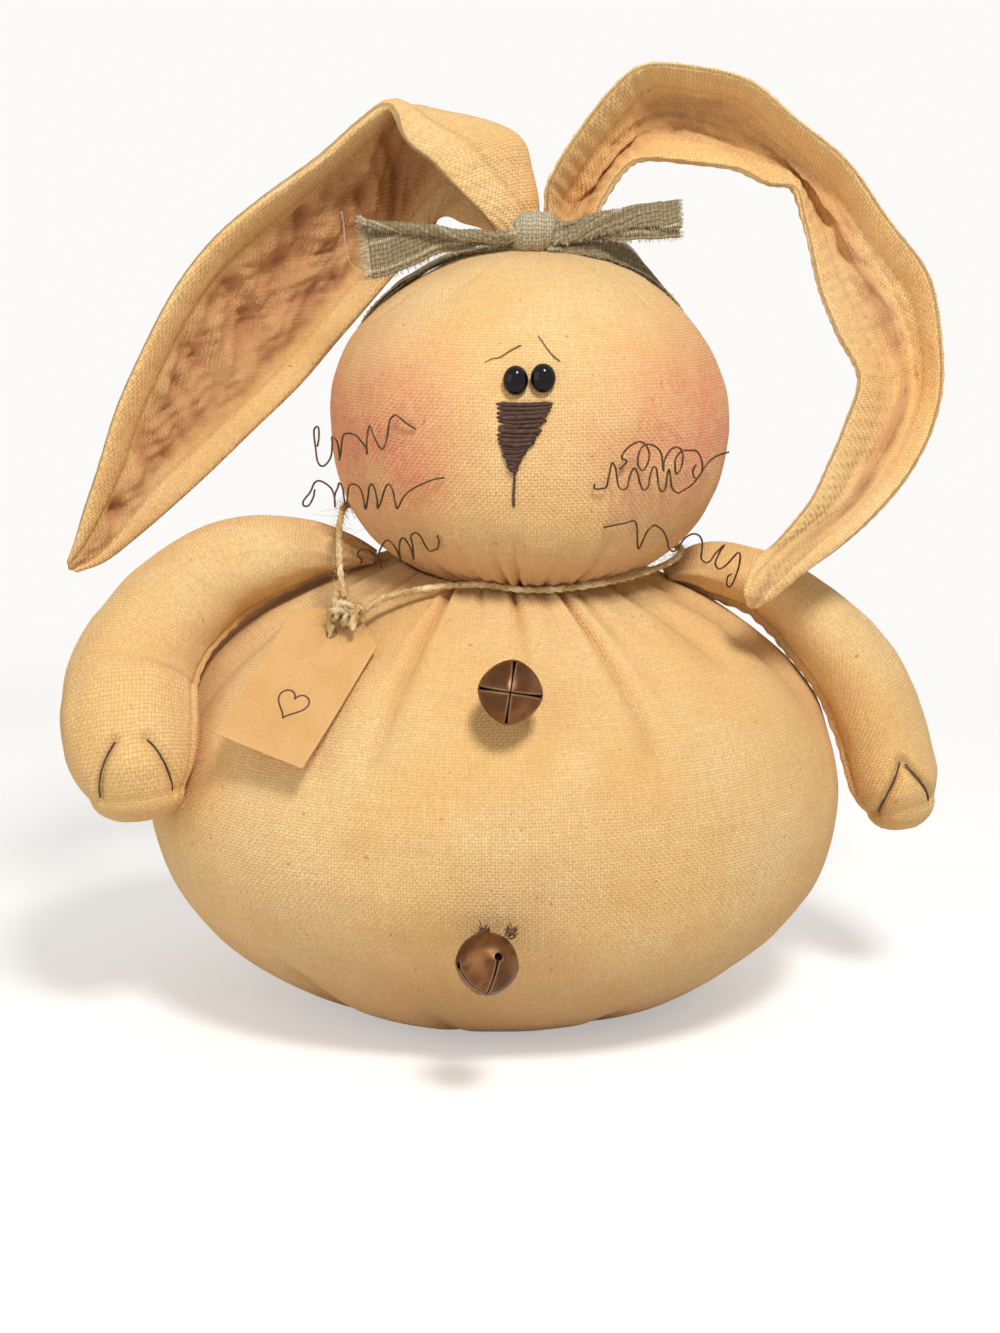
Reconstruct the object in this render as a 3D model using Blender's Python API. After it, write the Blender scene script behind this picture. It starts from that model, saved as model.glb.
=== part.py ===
"""Primitive rabbit doll: a stuffed muslin doll with wired ears, a torn-strip bow, bells and a paper tag.

Everything is in metres with +Z up. The doll faces -Y, +X is its own left side (the viewer's right).
The origin is the centre of the flat spot that the body sits on.
"""
import math

import bpy
import numpy as np
from mathutils import Matrix, Vector

MM = 0.001

# Clearances between pieces that touch
SEW_GAP = 0.4 * MM
NECK_GAP = 0.85 * MM
CLOTH_GAP = 0.5 * MM
LOOP_GAP = 0.3 * MM

# Body: a weighted ball of muslin, gathered at the neck and flat where it sits
BODY_HALF_WIDTH = 115 * MM
BODY_HALF_DEPTH = 95 * MM
BODY_HALF_HEIGHT = 80 * MM
BODY_SEAT_DEPTH = 6 * MM
BODY_LEAN = 5 * MM
BODY_LOWER_ROUNDNESS = 2.1
BODY_UPPER_ROUNDNESS = 2.0
BODY_SEGMENTS = 64
BODY_ROWS = 21
BODY_SHOULDER = math.radians(62)
# Gathers that run down from the neck: bearing in degrees (-90 is the front), depth, half width in degrees
BODY_GATHERS = [(-152, 3.0 * MM, 6), (-108, 3.4 * MM, 5), (-79, 3.0 * MM, 5), (-52, 4.6 * MM, 5),
                (-17, 3.0 * MM, 7), (22, 3.4 * MM, 6), (56, 4.0 * MM, 6), (90, 3.4 * MM, 6),
                (124, 4.2 * MM, 6), (163, 3.4 * MM, 7)]
BODY_GATHER_REACH = 0.2

# Head: a firmly stuffed ball, gathered underneath, resting in a dimple of the body
HEAD_HALF_WIDTH = 64 * MM
HEAD_HALF_DEPTH = 60 * MM
HEAD_HALF_HEIGHT = 54 * MM
HEAD_SINK = 11 * MM
HEAD_OFFSET_X = 12 * MM
HEAD_OFFSET_Y = -10 * MM
HEAD_LOWER_ROUNDNESS = 2.3
HEAD_UPPER_ROUNDNESS = 2.0
HEAD_SEGMENTS = 48
HEAD_ROWS = 16
HEAD_GATHERS = [(-160, 1.4 * MM, 7), (-125, 1.6 * MM, 7), (-97, 2.6 * MM, 6), (-62, 2.0 * MM, 6),
                (-25, 1.4 * MM, 7), (10, 1.4 * MM, 7), (50, 1.8 * MM, 7), (95, 1.6 * MM, 7),
                (140, 1.6 * MM, 7), (175, 1.4 * MM, 7)]
HEAD_GATHER_REACH = 0.35

# Ears: two layers of muslin, with a wire in the stitched channel round the rim
EAR_THICKNESS = 3.6 * MM
EAR_RIM_THICKNESS = 4.6 * MM
EAR_SEAM_THICKNESS = 2.2 * MM
EAR_RIM_WIDTH = 9.5 * MM
EAR_RINGS = 28
# Where the rim's rounding ends and where it is thickest, as shares of the rim's width
EAR_RIM_ROUND = 0.18
EAR_RIM_CREST = 0.6
# Rings over which an ear rises from its seam to its full clearance above the head
EAR_FOOT_RINGS = 4
# Where the ears are sewn to the crown: front rim, middle and back rim, from the crown's centre (x, y)
EAR_LEFT_SEAT = [(-8, 5), (-1, 13), (-7, 17)]
EAR_RIGHT_SEAT = [(6, 7), (14, 18), (20, 9)]
# The way each ear's rims and middle run, in mm from the crown: (front rim, middle, back rim)
EAR_LEFT_ROUTE = [
    [(-14, 1, 9), (1, 15, 11), (-15, 22, 6)], [(-23, 0, 18), (-1, 16, 24), (-22, 26, 8)],
    [(-31, 0, 26), (-5, 16, 34), (-27, 28, 10)], [(-39, 0, 33), (-22, 18, 39), (-31, 30, 8)],
    [(-44, 0, 43), (-36, 24, 36), (-34, 32, 2)], [(-53, -2, 39), (-47, 30, 22), (-41, 32, -5)],
    [(-66, -2, 28), (-60, 30, 10), (-51, 30, -16)], [(-85, -2, 15), (-75, 28, -5), (-64, 27, -31)],
    [(-102, -2, 0), (-92, 24, -23), (-79, 24, -48)], [(-118, -1, -22), (-108, 20, -42), (-95, 21, -63)],
    [(-131, 0, -48), (-122, 16, -62), (-110, 18, -77)], [(-141, 2, -74), (-134, 12, -82), (-126, 15, -91)],
    [(-148, 5, -92), (-144, 9, -97), (-139, 12, -101)], [(-152, 7, -101), (-151, 8, -103), (-149, 9, -105)]]
EAR_RIGHT_ROUTE = [
    [(5, 4, 17), (14, 24, 10), (22, 10, 11)], [(8, 4, 25), (18, 26, 18), (26, 14, 18)],
    [(16, 6, 37), (27, 28, 31), (32, 18, 26)], [(26, 8, 49), (36, 30, 39), (39, 22, 28)],
    [(36, 10, 56), (45, 32, 43), (52, 24, 27)], [(52, 12, 56), (57, 32, 41), (67, 22, 25)],
    [(69, 12, 52), (70, 30, 38), (77, 18, 20)], [(84, 10, 40), (85, 26, 28), (86, 14, 19)],
    [(101, 9, 27), (96, 24, 14), (88, 10, 7)], [(115, 8, 9), (106, 20, -5), (92, 7, -12)],
    [(128, 6, -10), (117, 18, -23), (98, 3, -26)], [(132, 2, -35), (122, 12, -42), (105, -2, -40)],
    [(129, -4, -54), (117, 2, -57), (100, -8, -55)], [(121, -11, -69), (109, -6, -69), (93, -15, -68)],
    [(109, -19, -82), (100, -15, -80), (87, -22, -78)], [(96, -26, -92), (86, -26, -89), (77, -30, -88)],
    [(84, -32, -99), (75, -36, -97), (69, -36, -94)], [(76, -36, -105), (69, -40, -103), (66, -39, -102)],
    [(71, -37, -108), (68, -38, -108), (67, -38, -107)]]
EAR_HEAD_CLEARANCE = 3.2 * MM

# Arms: stuffed tubes sewn flat between head and body; each station is a place in shares of the body's
# half sizes from its centre, then the half width across the arm and the half depth
ARM_LEFT_ROUTE = [((-0.33, -0.11, 0.985), 8, 1.6), ((-0.42, -0.11, 1.01), 12, 5.5),
                  ((-0.56, -0.10, 1.01), 16, 11), ((-0.73, -0.12, 0.95), 18, 14.8),
                  ((-0.85, -0.18, 0.84), 18, 16.6), ((-0.935, -0.28, 0.715), 18, 18),
                  ((-0.985, -0.39, 0.56), 18.5, 20), ((-0.985, -0.49, 0.42), 19, 21.4),
                  ((-0.972, -0.55, 0.26), 18, 20), ((-0.962, -0.565, 0.14), 14, 15)]
ARM_LEFT_END = (-0.962, -0.565, 0.03)
ARM_RIGHT_ROUTE = [((0.50, 0.05, 0.89), 10, 2.0), ((0.61, 0.05, 0.915), 14, 7.3),
                   ((0.76, 0.03, 0.868), 17, 9.5), ((0.875, 0.0, 0.765), 18, 11.2),
                   ((0.995, -0.03, 0.60), 18, 13), ((1.075, -0.05, 0.44), 18, 14.4),
                   ((1.135, -0.065, 0.235), 18, 15), ((1.17, -0.085, 0.045), 17, 14.6),
                   ((1.19, -0.095, -0.06), 13, 11)]
ARM_RIGHT_END = (1.19, -0.095, -0.165)
ARM_SEGMENTS = 16
ARM_RINGS = 17
ARM_END_SHARES = (0.55, 0.86)
TOE_STITCH_RADIUS = 0.45 * MM
TOE_STITCH_POINTS = 12
# Toe stitches: share along the arm, turn round it in degrees (-90 is the front)
TOE_LEFT_OUTER = ((0.765, -94), (0.78, -104), (0.82, -116), (0.87, -128))
TOE_LEFT_INNER = ((0.765, -66), (0.782, -56), (0.815, -46), (0.885, -30))
TOE_RIGHT_OUTER = ((0.72, -88), (0.77, -104), (0.82, -124), (0.885, -152))
TOE_RIGHT_INNER = ((0.73, -82), (0.77, -66), (0.825, -54), (0.885, -38))

# Bow: one torn strip round the crown, knotted in front of the ears
BOW_KNOT_PLACE = (1, -12)
BOW_KNOT_HALF = (7 * MM, 5.6 * MM, 6.2 * MM)
BOW_BAND_WIDTH = 9 * MM
BOW_BAND_THICKNESS = 1.4 * MM
BOW_TAIL_THICKNESS = 1.7 * MM
BOW_TAIL_RINGS = 9
BOW_BAND_RINGS = 34
BOW_RIPPLE = 0.9 * MM
BOW_RIPPLE_HALF_WAVES = 3
# Tails: (x, y, height above the knot's centre) in mm from the knot, then the half width in mm
BOW_TAIL_LEFT = [((-3, 1, 0), 3.2), ((-11, 1, -1.0), 3.4), ((-21, 0.5, -1.5), 4.0),
                 ((-31, 0, -2.5), 5.6), ((-41, -0.5, -3.6), 8.6), ((-51, -1.5, -4.6), 10.6)]
BOW_TAIL_RIGHT = [((3, 1, 0), 2.8), ((12, 1, 0.6), 3.6), ((22, 1, 1.8), 4.8), ((33, 1, 3.0), 5.8),
                  ((45, 1, 3.8), 6.2)]
# Bearings of the band round the head's centre, as shares of the head's half sizes
BOW_BAND_ROUTE = [(-0.02, -0.17, 0.98), (-0.26, -0.08, 0.96), (-0.54, 0.06, 0.84), (-0.78, 0.2, 0.6),
                  (-0.88, 0.42, 0.24), (-0.72, 0.7, 0.02), (-0.36, 0.93, -0.05), (0.06, 1.0, 0.0),
                  (0.5, 0.85, 0.16), (0.78, 0.5, 0.38), (0.76, 0.2, 0.62), (0.54, 0.02, 0.84),
                  (0.28, -0.1, 0.95), (0.06, -0.17, 0.98)]

# Face, placed in mm from the head's centre as seen from the front (x, z)
EYE_LEFT_PLACE = (-4.8, 16.4)
EYE_RIGHT_PLACE = (3.0, 17.0)
EYE_HALF_WIDTH = 3.7 * MM
EYE_HALF_HEIGHT = 4.3 * MM
EYE_HALF_DEPTH = 3.0 * MM
EYE_BACK_SHARE = 0.35
EYE_STAND_OFF = 0.45 * MM
NOSE_ROWS = [(10.2, -10.4, 5.9), (7.0, -10.2, 4.6), (3.5, -10.0, 2.8), (0.0, -9.8, 0.8),
             (-3.0, -9.0, -1.0), (-6.0, -7.8, -3.2), (-8.8, -6.4, -4.9)]
NOSE_THICKNESS = 1.3 * MM
# Round the nose: place from left to right, over the front and back along the cloth, and share of thickness
NOSE_SECTION = [(0, 0.25), (0.18, 0.8), (0.5, 1.0), (0.82, 0.8), (1, 0.25), (0.82, 0), (0.5, 0), (0.18, 0)]
MOUTH_ROUTE = [(-5.2, -10.2), (-5.3, -13.5), (-5.4, -17.0), (-5.3, -20.0)]
MOUTH_RADIUS = 0.45 * MM
BROW_LEFT_ROUTE = [(-14.8, 21.1), (-12.0, 22.6), (-9.5, 23.2), (-6.2, 25.2), (-3.0, 26.9)]
BROW_RIGHT_ROUTE = [(1.4, 29.7), (3.2, 27.3), (4.6, 25.4), (6.4, 23.4), (8.4, 22.0)]
BROW_RADIUS = 0.3 * MM

# Whiskers: crimped iron wire from the cheek; (x, z) in mm from the head's centre, root first
WHISKER_RADIUS = 0.4 * MM
WHISKER_POINTS_PER_BEND = 1.6
# Share of its length over which a whisker leaves the cheek, and share of the head's half width it follows
WHISKER_LIFT_SHARE = 0.25
WHISKER_EDGE_SHARE = 0.86
WHISKER_LEFT_UPPER = [(-35, 2), (-38, 5), (-42, 4), (-43, 0), (-45, -4), (-46, -2), (-48, 1), (-49, -2),
                      (-50, -5), (-53, -1), (-55, 0), (-57, -2), (-59, -9), (-61, -3), (-61, -2),
                      (-63, -10), (-65, -12), (-67, -10), (-68, -3), (-67, 0), (-66, -4)]
WHISKER_LEFT_MIDDLE = [(-26, -12), (-30, -13), (-35, -16), (-39, -18), (-41, -22), (-42, -16),
                       (-44, -15), (-46, -23), (-47, -18), (-49, -15), (-50, -23), (-53, -16),
                       (-55, -16), (-57, -25), (-59, -16), (-61, -20), (-62, -26), (-64, -19),
                       (-67, -17), (-70, -20), (-71, -24)]
WHISKER_LEFT_LOWER = [(-29, -31), (-30, -35), (-33, -33), (-35, -30), (-36, -38), (-38, -34),
                      (-39, -32), (-40, -41), (-42, -35), (-45, -36), (-47, -44), (-49, -41),
                      (-52, -39), (-55, -40), (-55, -43)]
WHISKER_RIGHT_UPPER = [(18, -14), (21, -15), (23, -10), (24, -7), (25, -12), (27, -14), (29, -10),
                       (31, -7), (33, -14), (35, -11), (36, -8), (38, -15), (40, -12), (41, -9),
                       (43, -17), (46, -16), (49, -14), (51, -11), (55, -8), (60, -7)]
WHISKER_RIGHT_MIDDLE = [(27, -7), (28, -4), (31, -1), (34, -3), (34, -7), (31, -8), (32, -3), (35, -2),
                        (38, -6), (39, -10), (41, -4), (44, -4), (45, -8), (43, -10), (43, -6),
                        (46, -4), (50, -5), (51, -12)]
WHISKER_RIGHT_LOWER = [(21, -28), (25, -27), (30, -26), (32, -29), (33, -35), (35, -31), (38, -27),
                       (40, -29), (43, -37), (46, -34), (50, -33), (54, -36), (55, -43), (58, -41),
                       (61, -37), (59, -43), (62, -44), (65, -41), (65, -47), (63, -50)]
# How far each whisker stands off the cheek
WHISKER_LIFTS = {"left_upper": 6 * MM, "left_middle": 8 * MM, "left_lower": 7 * MM,
                 "right_upper": 4.5 * MM, "right_middle": 8.5 * MM, "right_lower": 7 * MM}

# Bells: pressed steel, two crossing slots, each sewn on through its shank
BELL_RADIUS = 9.6 * MM
BELL_WALL = 0.8 * MM
BELL_SLOT_WIDTH = 1.1 * MM
BELL_SLOT_START = 0.4 * MM
BELL_SQUARENESS = 1.65
BELL_FACET_SAG = 0.35 * MM
BELL_BALL_RADIUS = 2.2 * MM
SHANK_RING_RADIUS = 1.05 * MM
SHANK_WIRE_RADIUS = 0.35 * MM
BELL_THREAD_RADIUS = 0.3 * MM
# The thread through the shank ring: shares of its half width and of its height off the cloth
BELL_THREAD_BENDS = [(-1, 0), (-0.8, 0.5), (-0.4, 0.9), (0, 1.0), (0.4, 0.9), (0.8, 0.5), (1, 0)]
BELL_THREAD_HALF = 1.5 * SHANK_RING_RADIUS
# Place on the belly in shares of the body's half sizes (x, z), slot side's rise in degrees, roll in degrees
BELL_UPPER_PLACE = (0.044, 0.544)
BELL_UPPER_RISE = 12
BELL_UPPER_ROLL = -8
BELL_LOWER_PLACE = (-0.01, -0.29)
BELL_LOWER_RISE = -33
BELL_LOWER_ROLL = 12

# Paper tag, hung from the neck twine
TAG_WIDTH = 32 * MM
TAG_LENGTH = 51 * MM
TAG_THICKNESS = 0.7 * MM
TAG_CORNER = 8.5 * MM
TAG_CORNER_DROP = 6 * MM
TAG_HOLE_RADIUS = 1.9 * MM
TAG_HOLE_INSET = 7 * MM
TAG_PLACE = (-0.50, 0.55)
TAG_LIFT = 3.4 * MM
TAG_DOWN = (-0.462, -0.513, -0.724)
TAG_ACROSS = (0.855, -0.465, -0.231)

# Jute twine round the neck
TWINE_RADIUS = 1.0 * MM
TWINE_KNOT_HALF = (5.4 * MM, 3.4 * MM, 4.0 * MM)
TWINE_KNOT_RISE = 6.2 * MM
TWINE_KNOT_SIDE = 3 * MM
TAG_LOOP_RADIUS = 0.8 * MM
TAG_LOOP_POINTS = 16
# The loop off the card: at the knot, halfway down to the hole, behind the hole, over the edge and at its end
TAG_LOOP_START_SWING = 1.2 * MM
TAG_LOOP_HALF_SWING = 0.5 * MM
TAG_LOOP_BACK_RISE = 1.2 * MM
TAG_LOOP_EDGE_RISE = 0.2 * MM
TAG_LOOP_END_SWING = 0.4 * MM
TAG_LOOP_BACK_SHARE = 0.6
TAG_LOOP_EDGE_SHARE = 0.4
TAG_LOOP_KNOT_SHARE = 0.9
# The twine's points in mm, from the knot round the front of the neck and back over the far shoulder
TWINE_ROUTE = [(-44, -54.8, 143.3), (-38.5, -50.5, 146), (-31, -46.5, 147.5), (-22, -43.5, 148.5),
               (-9, -42.5, 149), (6, -42.2, 147.3), (20, -40.7, 147.7), (34.2, -35.7, 149.3),
               (46, -26, 151), (54, -13, 152.2), (57.5, 1, 153.4), (54, 16, 153), (42, 27, 152),
               (26, 34, 151.5), (8, 36, 151.5), (-12, 33, 152.5), (-29, 26, 156), (-42, 15, 162),
               (-50.2, 2, 167.8), (-52.5, -14, 169.5), (-53, -27, 167), (-52.8, -37, 162),
               (-52, -45, 156.5), (-51, -51, 151.5), (-50, -54.7, 147.2)]
TWINE_POINTS = 76

# Colours of the cloth, thread, wire and metal as they show under plain light
MUSLIN = (0.86, 0.66, 0.40)
MUSLIN_DIRTY = (0.80, 0.60, 0.36)
SAGE = (0.35, 0.39, 0.27)
BEAD_BLACK = (0.012, 0.010, 0.010)
FLOSS_PLUM = (0.085, 0.045, 0.035)
THREAD_DARK = (0.05, 0.03, 0.02)
THREAD_BROWN = (0.25, 0.14, 0.07)
RUSTY_WIRE = (0.12, 0.07, 0.045)
RUSTY_BELL = (0.23, 0.11, 0.055)
KRAFT = (0.66, 0.42, 0.20)
JUTE = (0.74, 0.60, 0.38)


class Ball:
    """A stuffed ball: a superellipsoid with its own roundness below and above the middle."""

    def __init__(self, centre, half, lower, upper, lean=0.0):
        self.centre = np.array(centre)
        self.half = np.array(half)
        self.lower = lower
        self.upper = upper
        self.lean = lean

    def local(self, points):
        """Points as shares of the half sizes, with the sideways lean taken out."""
        share = (np.asarray(points, float) - self.centre) / self.half
        low = np.clip(-share[..., 2], 0, 1)
        share[..., 0] -= self.lean * low ** 2 / self.half[0]
        return share

    def size_at(self, points):
        """1 on the surface, less inside and more outside."""
        share = self.local(points)
        power = np.where(share[..., 2] < 0, self.lower, self.upper)
        across = np.hypot(share[..., 0], share[..., 1])
        return (across ** power + np.abs(share[..., 2]) ** power) ** (1 / power)

    def normal(self, points, step=0.05 * MM):
        """Outward direction, from the slope of size_at."""
        points = np.asarray(points, float)
        slope = np.stack([self.size_at(points + offset) - self.size_at(points - offset)
                          for offset in np.eye(3) * step], axis=-1)
        return slope / np.linalg.norm(slope, axis=-1, keepdims=True)

    def push_out(self, points, clearance):
        """Points that are nearer than the clearance go out along the normal."""
        points = np.array(points, float)
        for _ in range(4):
            normal = self.normal(points)
            step = 0.05 * MM
            slope = (self.size_at(points + normal * step) - self.size_at(points)) / step
            depth = clearance - (self.size_at(points) - 1) / slope
            points += normal * np.clip(depth, 0, None)[..., None]
        return points

    def height_below(self, x, y):
        """Height of the underside at x, y; very high outside the ball."""
        across = np.hypot((x - self.centre[0]) / self.half[0], (y - self.centre[1]) / self.half[1])
        inside = np.clip(1 - across ** self.lower, 0, 1)
        under = self.centre[2] - self.half[2] * inside ** (1 / self.lower)
        return np.where(across < 1, under, self.centre[2] + self.half[2])

    def front(self, x, z):
        """Point on the front (-Y) at an offset x, z from the centre."""
        power = self.lower if z < 0 else self.upper
        ring = max(1 - abs(z / self.half[2]) ** power, 0) ** (1 / power)
        depth = math.sqrt(max(ring ** 2 - (x / self.half[0]) ** 2, 0))
        return self.centre + np.array([x, -self.half[1] * depth, z])

    def toward(self, direction):
        """Surface point in a direction given in shares of the half sizes."""
        direction = np.array(direction, float)
        start = self.centre + self.half * direction / np.linalg.norm(direction)
        for _ in range(6):
            offset = start - self.centre
            start = self.centre + offset / self.size_at(start)
        return start


BODY = Ball((-BODY_LEAN, 0, BODY_HALF_HEIGHT - BODY_SEAT_DEPTH),
            (BODY_HALF_WIDTH, BODY_HALF_DEPTH, BODY_HALF_HEIGHT),
            BODY_LOWER_ROUNDNESS, BODY_UPPER_ROUNDNESS, BODY_LEAN)
BODY_TOP = BODY.centre[2] + BODY_HALF_HEIGHT
HEAD = Ball((BODY.centre[0] + HEAD_OFFSET_X, HEAD_OFFSET_Y, BODY_TOP - HEAD_SINK + HEAD_HALF_HEIGHT),
            (HEAD_HALF_WIDTH, HEAD_HALF_DEPTH, HEAD_HALF_HEIGHT),
            HEAD_LOWER_ROUNDNESS, HEAD_UPPER_ROUNDNESS)
CROWN = HEAD.centre + np.array([0, 0, HEAD_HALF_HEIGHT])


def clear_scene():
    for item in list(bpy.data.objects):
        bpy.data.objects.remove(item, do_unlink=True)


def finish(name, color, roughness, metallic=0.0):
    material = bpy.data.materials.new(name)
    material.use_nodes = True
    shader = material.node_tree.nodes["Principled BSDF"]
    shader.inputs["Base Color"].default_value = (*color, 1.0)
    shader.inputs["Roughness"].default_value = roughness
    shader.inputs["Metallic"].default_value = metallic
    return material


def add_mesh(name, points, faces, material):
    mesh = bpy.data.meshes.new(name)
    mesh.from_pydata([tuple(p) for p in points], [], faces)
    mesh.materials.append(material)
    mesh.shade_smooth()
    item = bpy.data.objects.new(name, mesh)
    bpy.context.collection.objects.link(item)
    return item


def ring_faces(rings, around):
    """Quads between closed rings of points, for rings stored one after another."""
    faces = []
    for ring in range(rings - 1):
        for step in range(around):
            after = (step + 1) % around
            faces.append((ring * around + step, ring * around + after,
                          (ring + 1) * around + after, (ring + 1) * around + step))
    return faces


def add_loft(name, rings, start, end, material):
    """A closed skin through rings of points, closed by a fan at each end."""
    rings = np.asarray(rings)
    count, around, _ = rings.shape
    points = np.vstack([rings.reshape(-1, 3), [start], [end]])
    faces = ring_faces(count, around)
    first = count * around
    last = (count - 1) * around
    for step in range(around):
        after = (step + 1) % around
        faces.append((first, after, step))
        faces.append((first + 1, last + step, last + after))
    volume = 0.0
    for face in faces:
        for corner in range(1, len(face) - 1):
            a, b, c = points[face[0]], points[face[corner]], points[face[corner + 1]]
            volume += np.dot(a, np.cross(b, c))
    if volume < 0:
        faces = [face[::-1] for face in faces]
    return add_mesh(name, points, faces, material)


def smooth_rows(rows, count):
    """Rows of numbers read from a Catmull-Rom curve through them, at even steps of the first curve."""
    rows = np.asarray(rows, float)
    padded = np.vstack([2 * rows[:1] - rows[1:2], rows, 2 * rows[-1:] - rows[-2:-1]])
    place = np.linspace(0, len(rows) - 1, count)
    cell = np.minimum(place.astype(int), len(rows) - 2)
    t = (place - cell)[:, None]
    a, b, c, d = (padded[cell + shift] for shift in range(4))
    bend = 2 * a - 5 * b + 4 * c - d
    twist = 3 * b - a - 3 * c + d
    return 0.5 * (2 * b + (c - a) * t + bend * t ** 2 + twist * t ** 3)


def even_route(route, count):
    """Points at even spacing along the smooth curve through a route."""
    fine = smooth_rows(route, 40 * len(route))
    steps = np.linalg.norm(np.diff(fine, axis=0), axis=1)
    along = np.concatenate([[0], np.cumsum(steps)])
    wanted = np.linspace(0, along[-1], int(count))
    return np.stack([np.interp(wanted, along, fine[:, axis]) for axis in range(3)], axis=1)


def add_strand(name, points, radius, material, sides=0, closed=False):
    """A round thread, wire or twine through points."""
    curve = bpy.data.curves.new(name, "CURVE")
    curve.dimensions = "3D"
    curve.bevel_depth = radius
    curve.bevel_resolution = sides
    curve.use_fill_caps = True
    curve.render_resolution_u = 0
    spline = curve.splines.new("POLY")
    spline.points.add(len(points) - 1)
    for place, point in zip(spline.points, points):
        place.co = (*point, 1.0)
    spline.use_cyclic_u = closed
    curve.materials.append(material)
    item = bpy.data.objects.new(name, curve)
    bpy.context.collection.objects.link(item)
    return item


def gather_depth(bearing, height, gathers, reach, sign):
    """Depth of the creases that grow from the middle of the ball towards the gathered end."""
    grow = np.clip((sign * height - reach) / (1 - reach), 0, 1) ** 1.2
    depth = np.zeros_like(bearing)
    for degrees, deep, half_width in gathers:
        turn = np.degrees(np.angle(np.exp(1j * (bearing - math.radians(degrees)))))
        depth += deep * np.exp(-(turn / half_width) ** 2)
    return depth * grow


def ball_rings(ball, segments, rows, gathers, reach, sign, shoulder=None):
    """Rings of a gathered ball from its bottom to its top, without the poles; closer above the shoulder."""
    angle = np.linspace(-np.pi / 2, np.pi / 2, rows + 1)[1:-1]
    if shoulder is not None:
        fine = np.linspace(shoulder, np.pi / 2, 7)[1:-1]
        angle = np.concatenate([np.linspace(-np.pi / 2, shoulder, rows - 4)[1:], fine])
    bearing = np.arange(segments) * 2 * np.pi / segments
    angle, bearing = np.meshgrid(angle, bearing, indexing="ij")
    power = np.where(angle < 0, ball.lower, ball.upper)
    across = np.cos(angle) ** (2 / power)
    up = np.sign(angle) * np.abs(np.sin(angle)) ** (2 / power)
    shrink = 1 - gather_depth(bearing, up, gathers, reach, sign) / ball.half[0] / np.maximum(across, 0.3)
    x = across * np.cos(bearing) * shrink
    y = across * np.sin(bearing) * shrink
    rings = ball.centre + np.stack([x, y, up], axis=-1) * ball.half
    rings[..., 0] += ball.lean * np.clip(-up, 0, 1) ** 2
    return rings


def body(material):
    """The body ball, level underneath, its top following the head's underside."""
    rings = ball_rings(BODY, BODY_SEGMENTS, BODY_ROWS, BODY_GATHERS, BODY_GATHER_REACH, 1, BODY_SHOULDER)
    rings[..., 2] = np.maximum(rings[..., 2], 0)
    under = HEAD.height_below(rings[..., 0], rings[..., 1]) - NECK_GAP
    rings[..., 2] = np.minimum(rings[..., 2], np.maximum(under, 0))
    top = (HEAD.centre[0], HEAD.centre[1], HEAD.centre[2] - HEAD.half[2] - NECK_GAP)
    return add_loft("body", rings, (0, 0, 0), top, material)


def head(material):
    rings = ball_rings(HEAD, HEAD_SEGMENTS, HEAD_ROWS, HEAD_GATHERS, HEAD_GATHER_REACH, -1)
    bottom = HEAD.centre - np.array([0, 0, HEAD.half[2]])
    return add_loft("head", rings, bottom, CROWN, material)


def on_crown(seat):
    """The places where an ear's foot stands on the head, just clear of the cloth."""
    places = []
    for x, y in seat:
        start = np.array([CROWN[0] + x * MM, CROWN[1] + y * MM, CROWN[2]])
        share = (start - HEAD.centre) / HEAD.half
        rise = math.sqrt(max(1 - share[0] ** 2 - share[1] ** 2, 0)) * HEAD.half[2]
        places.append((start[0], start[1], HEAD.centre[2] + rise + SEW_GAP))
    return places


def ear(name, seat, route, material):
    """Leaf of cloth between two wired rims: thick at the rim, thin at the seam, padded in the middle."""
    stations = [on_crown(seat)]
    for station in route:
        stations.append([CROWN + np.array(p) * MM for p in station])
    stations = smooth_rows(np.array(stations).reshape(len(stations), 9), EAR_RINGS).reshape(-1, 3, 3)
    front, middle, back = stations[:, 0], stations[:, 1], stations[:, 2]
    half_width = (np.linalg.norm(middle - front, axis=1) + np.linalg.norm(back - middle, axis=1)) / 2
    seam = np.clip(EAR_RIM_WIDTH / half_width, 0.1, 0.55)
    tip_taper = np.clip(half_width / EAR_RIM_WIDTH, 0.25, 1)
    one = np.ones_like(seam)
    across = np.stack([one, 1 - EAR_RIM_ROUND * seam, 1 - EAR_RIM_CREST * seam, 1 - seam, (1 - seam) / 2,
                       0 * one], axis=1)
    across = np.concatenate([-across, across[:, -2::-1]], axis=1)
    thick = np.array([0, EAR_RIM_THICKNESS * 0.8, EAR_RIM_THICKNESS, EAR_SEAM_THICKNESS, EAR_THICKNESS,
                      EAR_THICKNESS])
    thick = np.concatenate([thick, thick[-2::-1]])[None, :] * tip_taper[:, None] / 2
    v = across[..., None]
    sheet = (front[:, None] * (v ** 2 - v) + back[:, None] * (v ** 2 + v)) / 2
    sheet += middle[:, None] * (1 - v ** 2)
    along = np.gradient(sheet, axis=0)
    over = np.gradient(sheet, axis=1)
    normal = np.cross(along, over)
    normal /= np.linalg.norm(normal, axis=-1, keepdims=True)
    face = sheet + normal * thick[..., None]
    rear = sheet - normal * thick[..., None]
    rings = np.concatenate([face, rear[:, -2:0:-1]], axis=1)
    for index in range(EAR_RINGS):
        clearance = min(index / EAR_FOOT_RINGS, 1) * EAR_HEAD_CLEARANCE
        rings[index] = HEAD.push_out(rings[index], SEW_GAP + clearance)
    foot = rings[0].mean(axis=0)
    tip = rings[-1].mean(axis=0) + (rings[-1].mean(axis=0) - rings[-2].mean(axis=0)) * 0.4
    return add_loft(name, rings, foot, tip, material)


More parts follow.
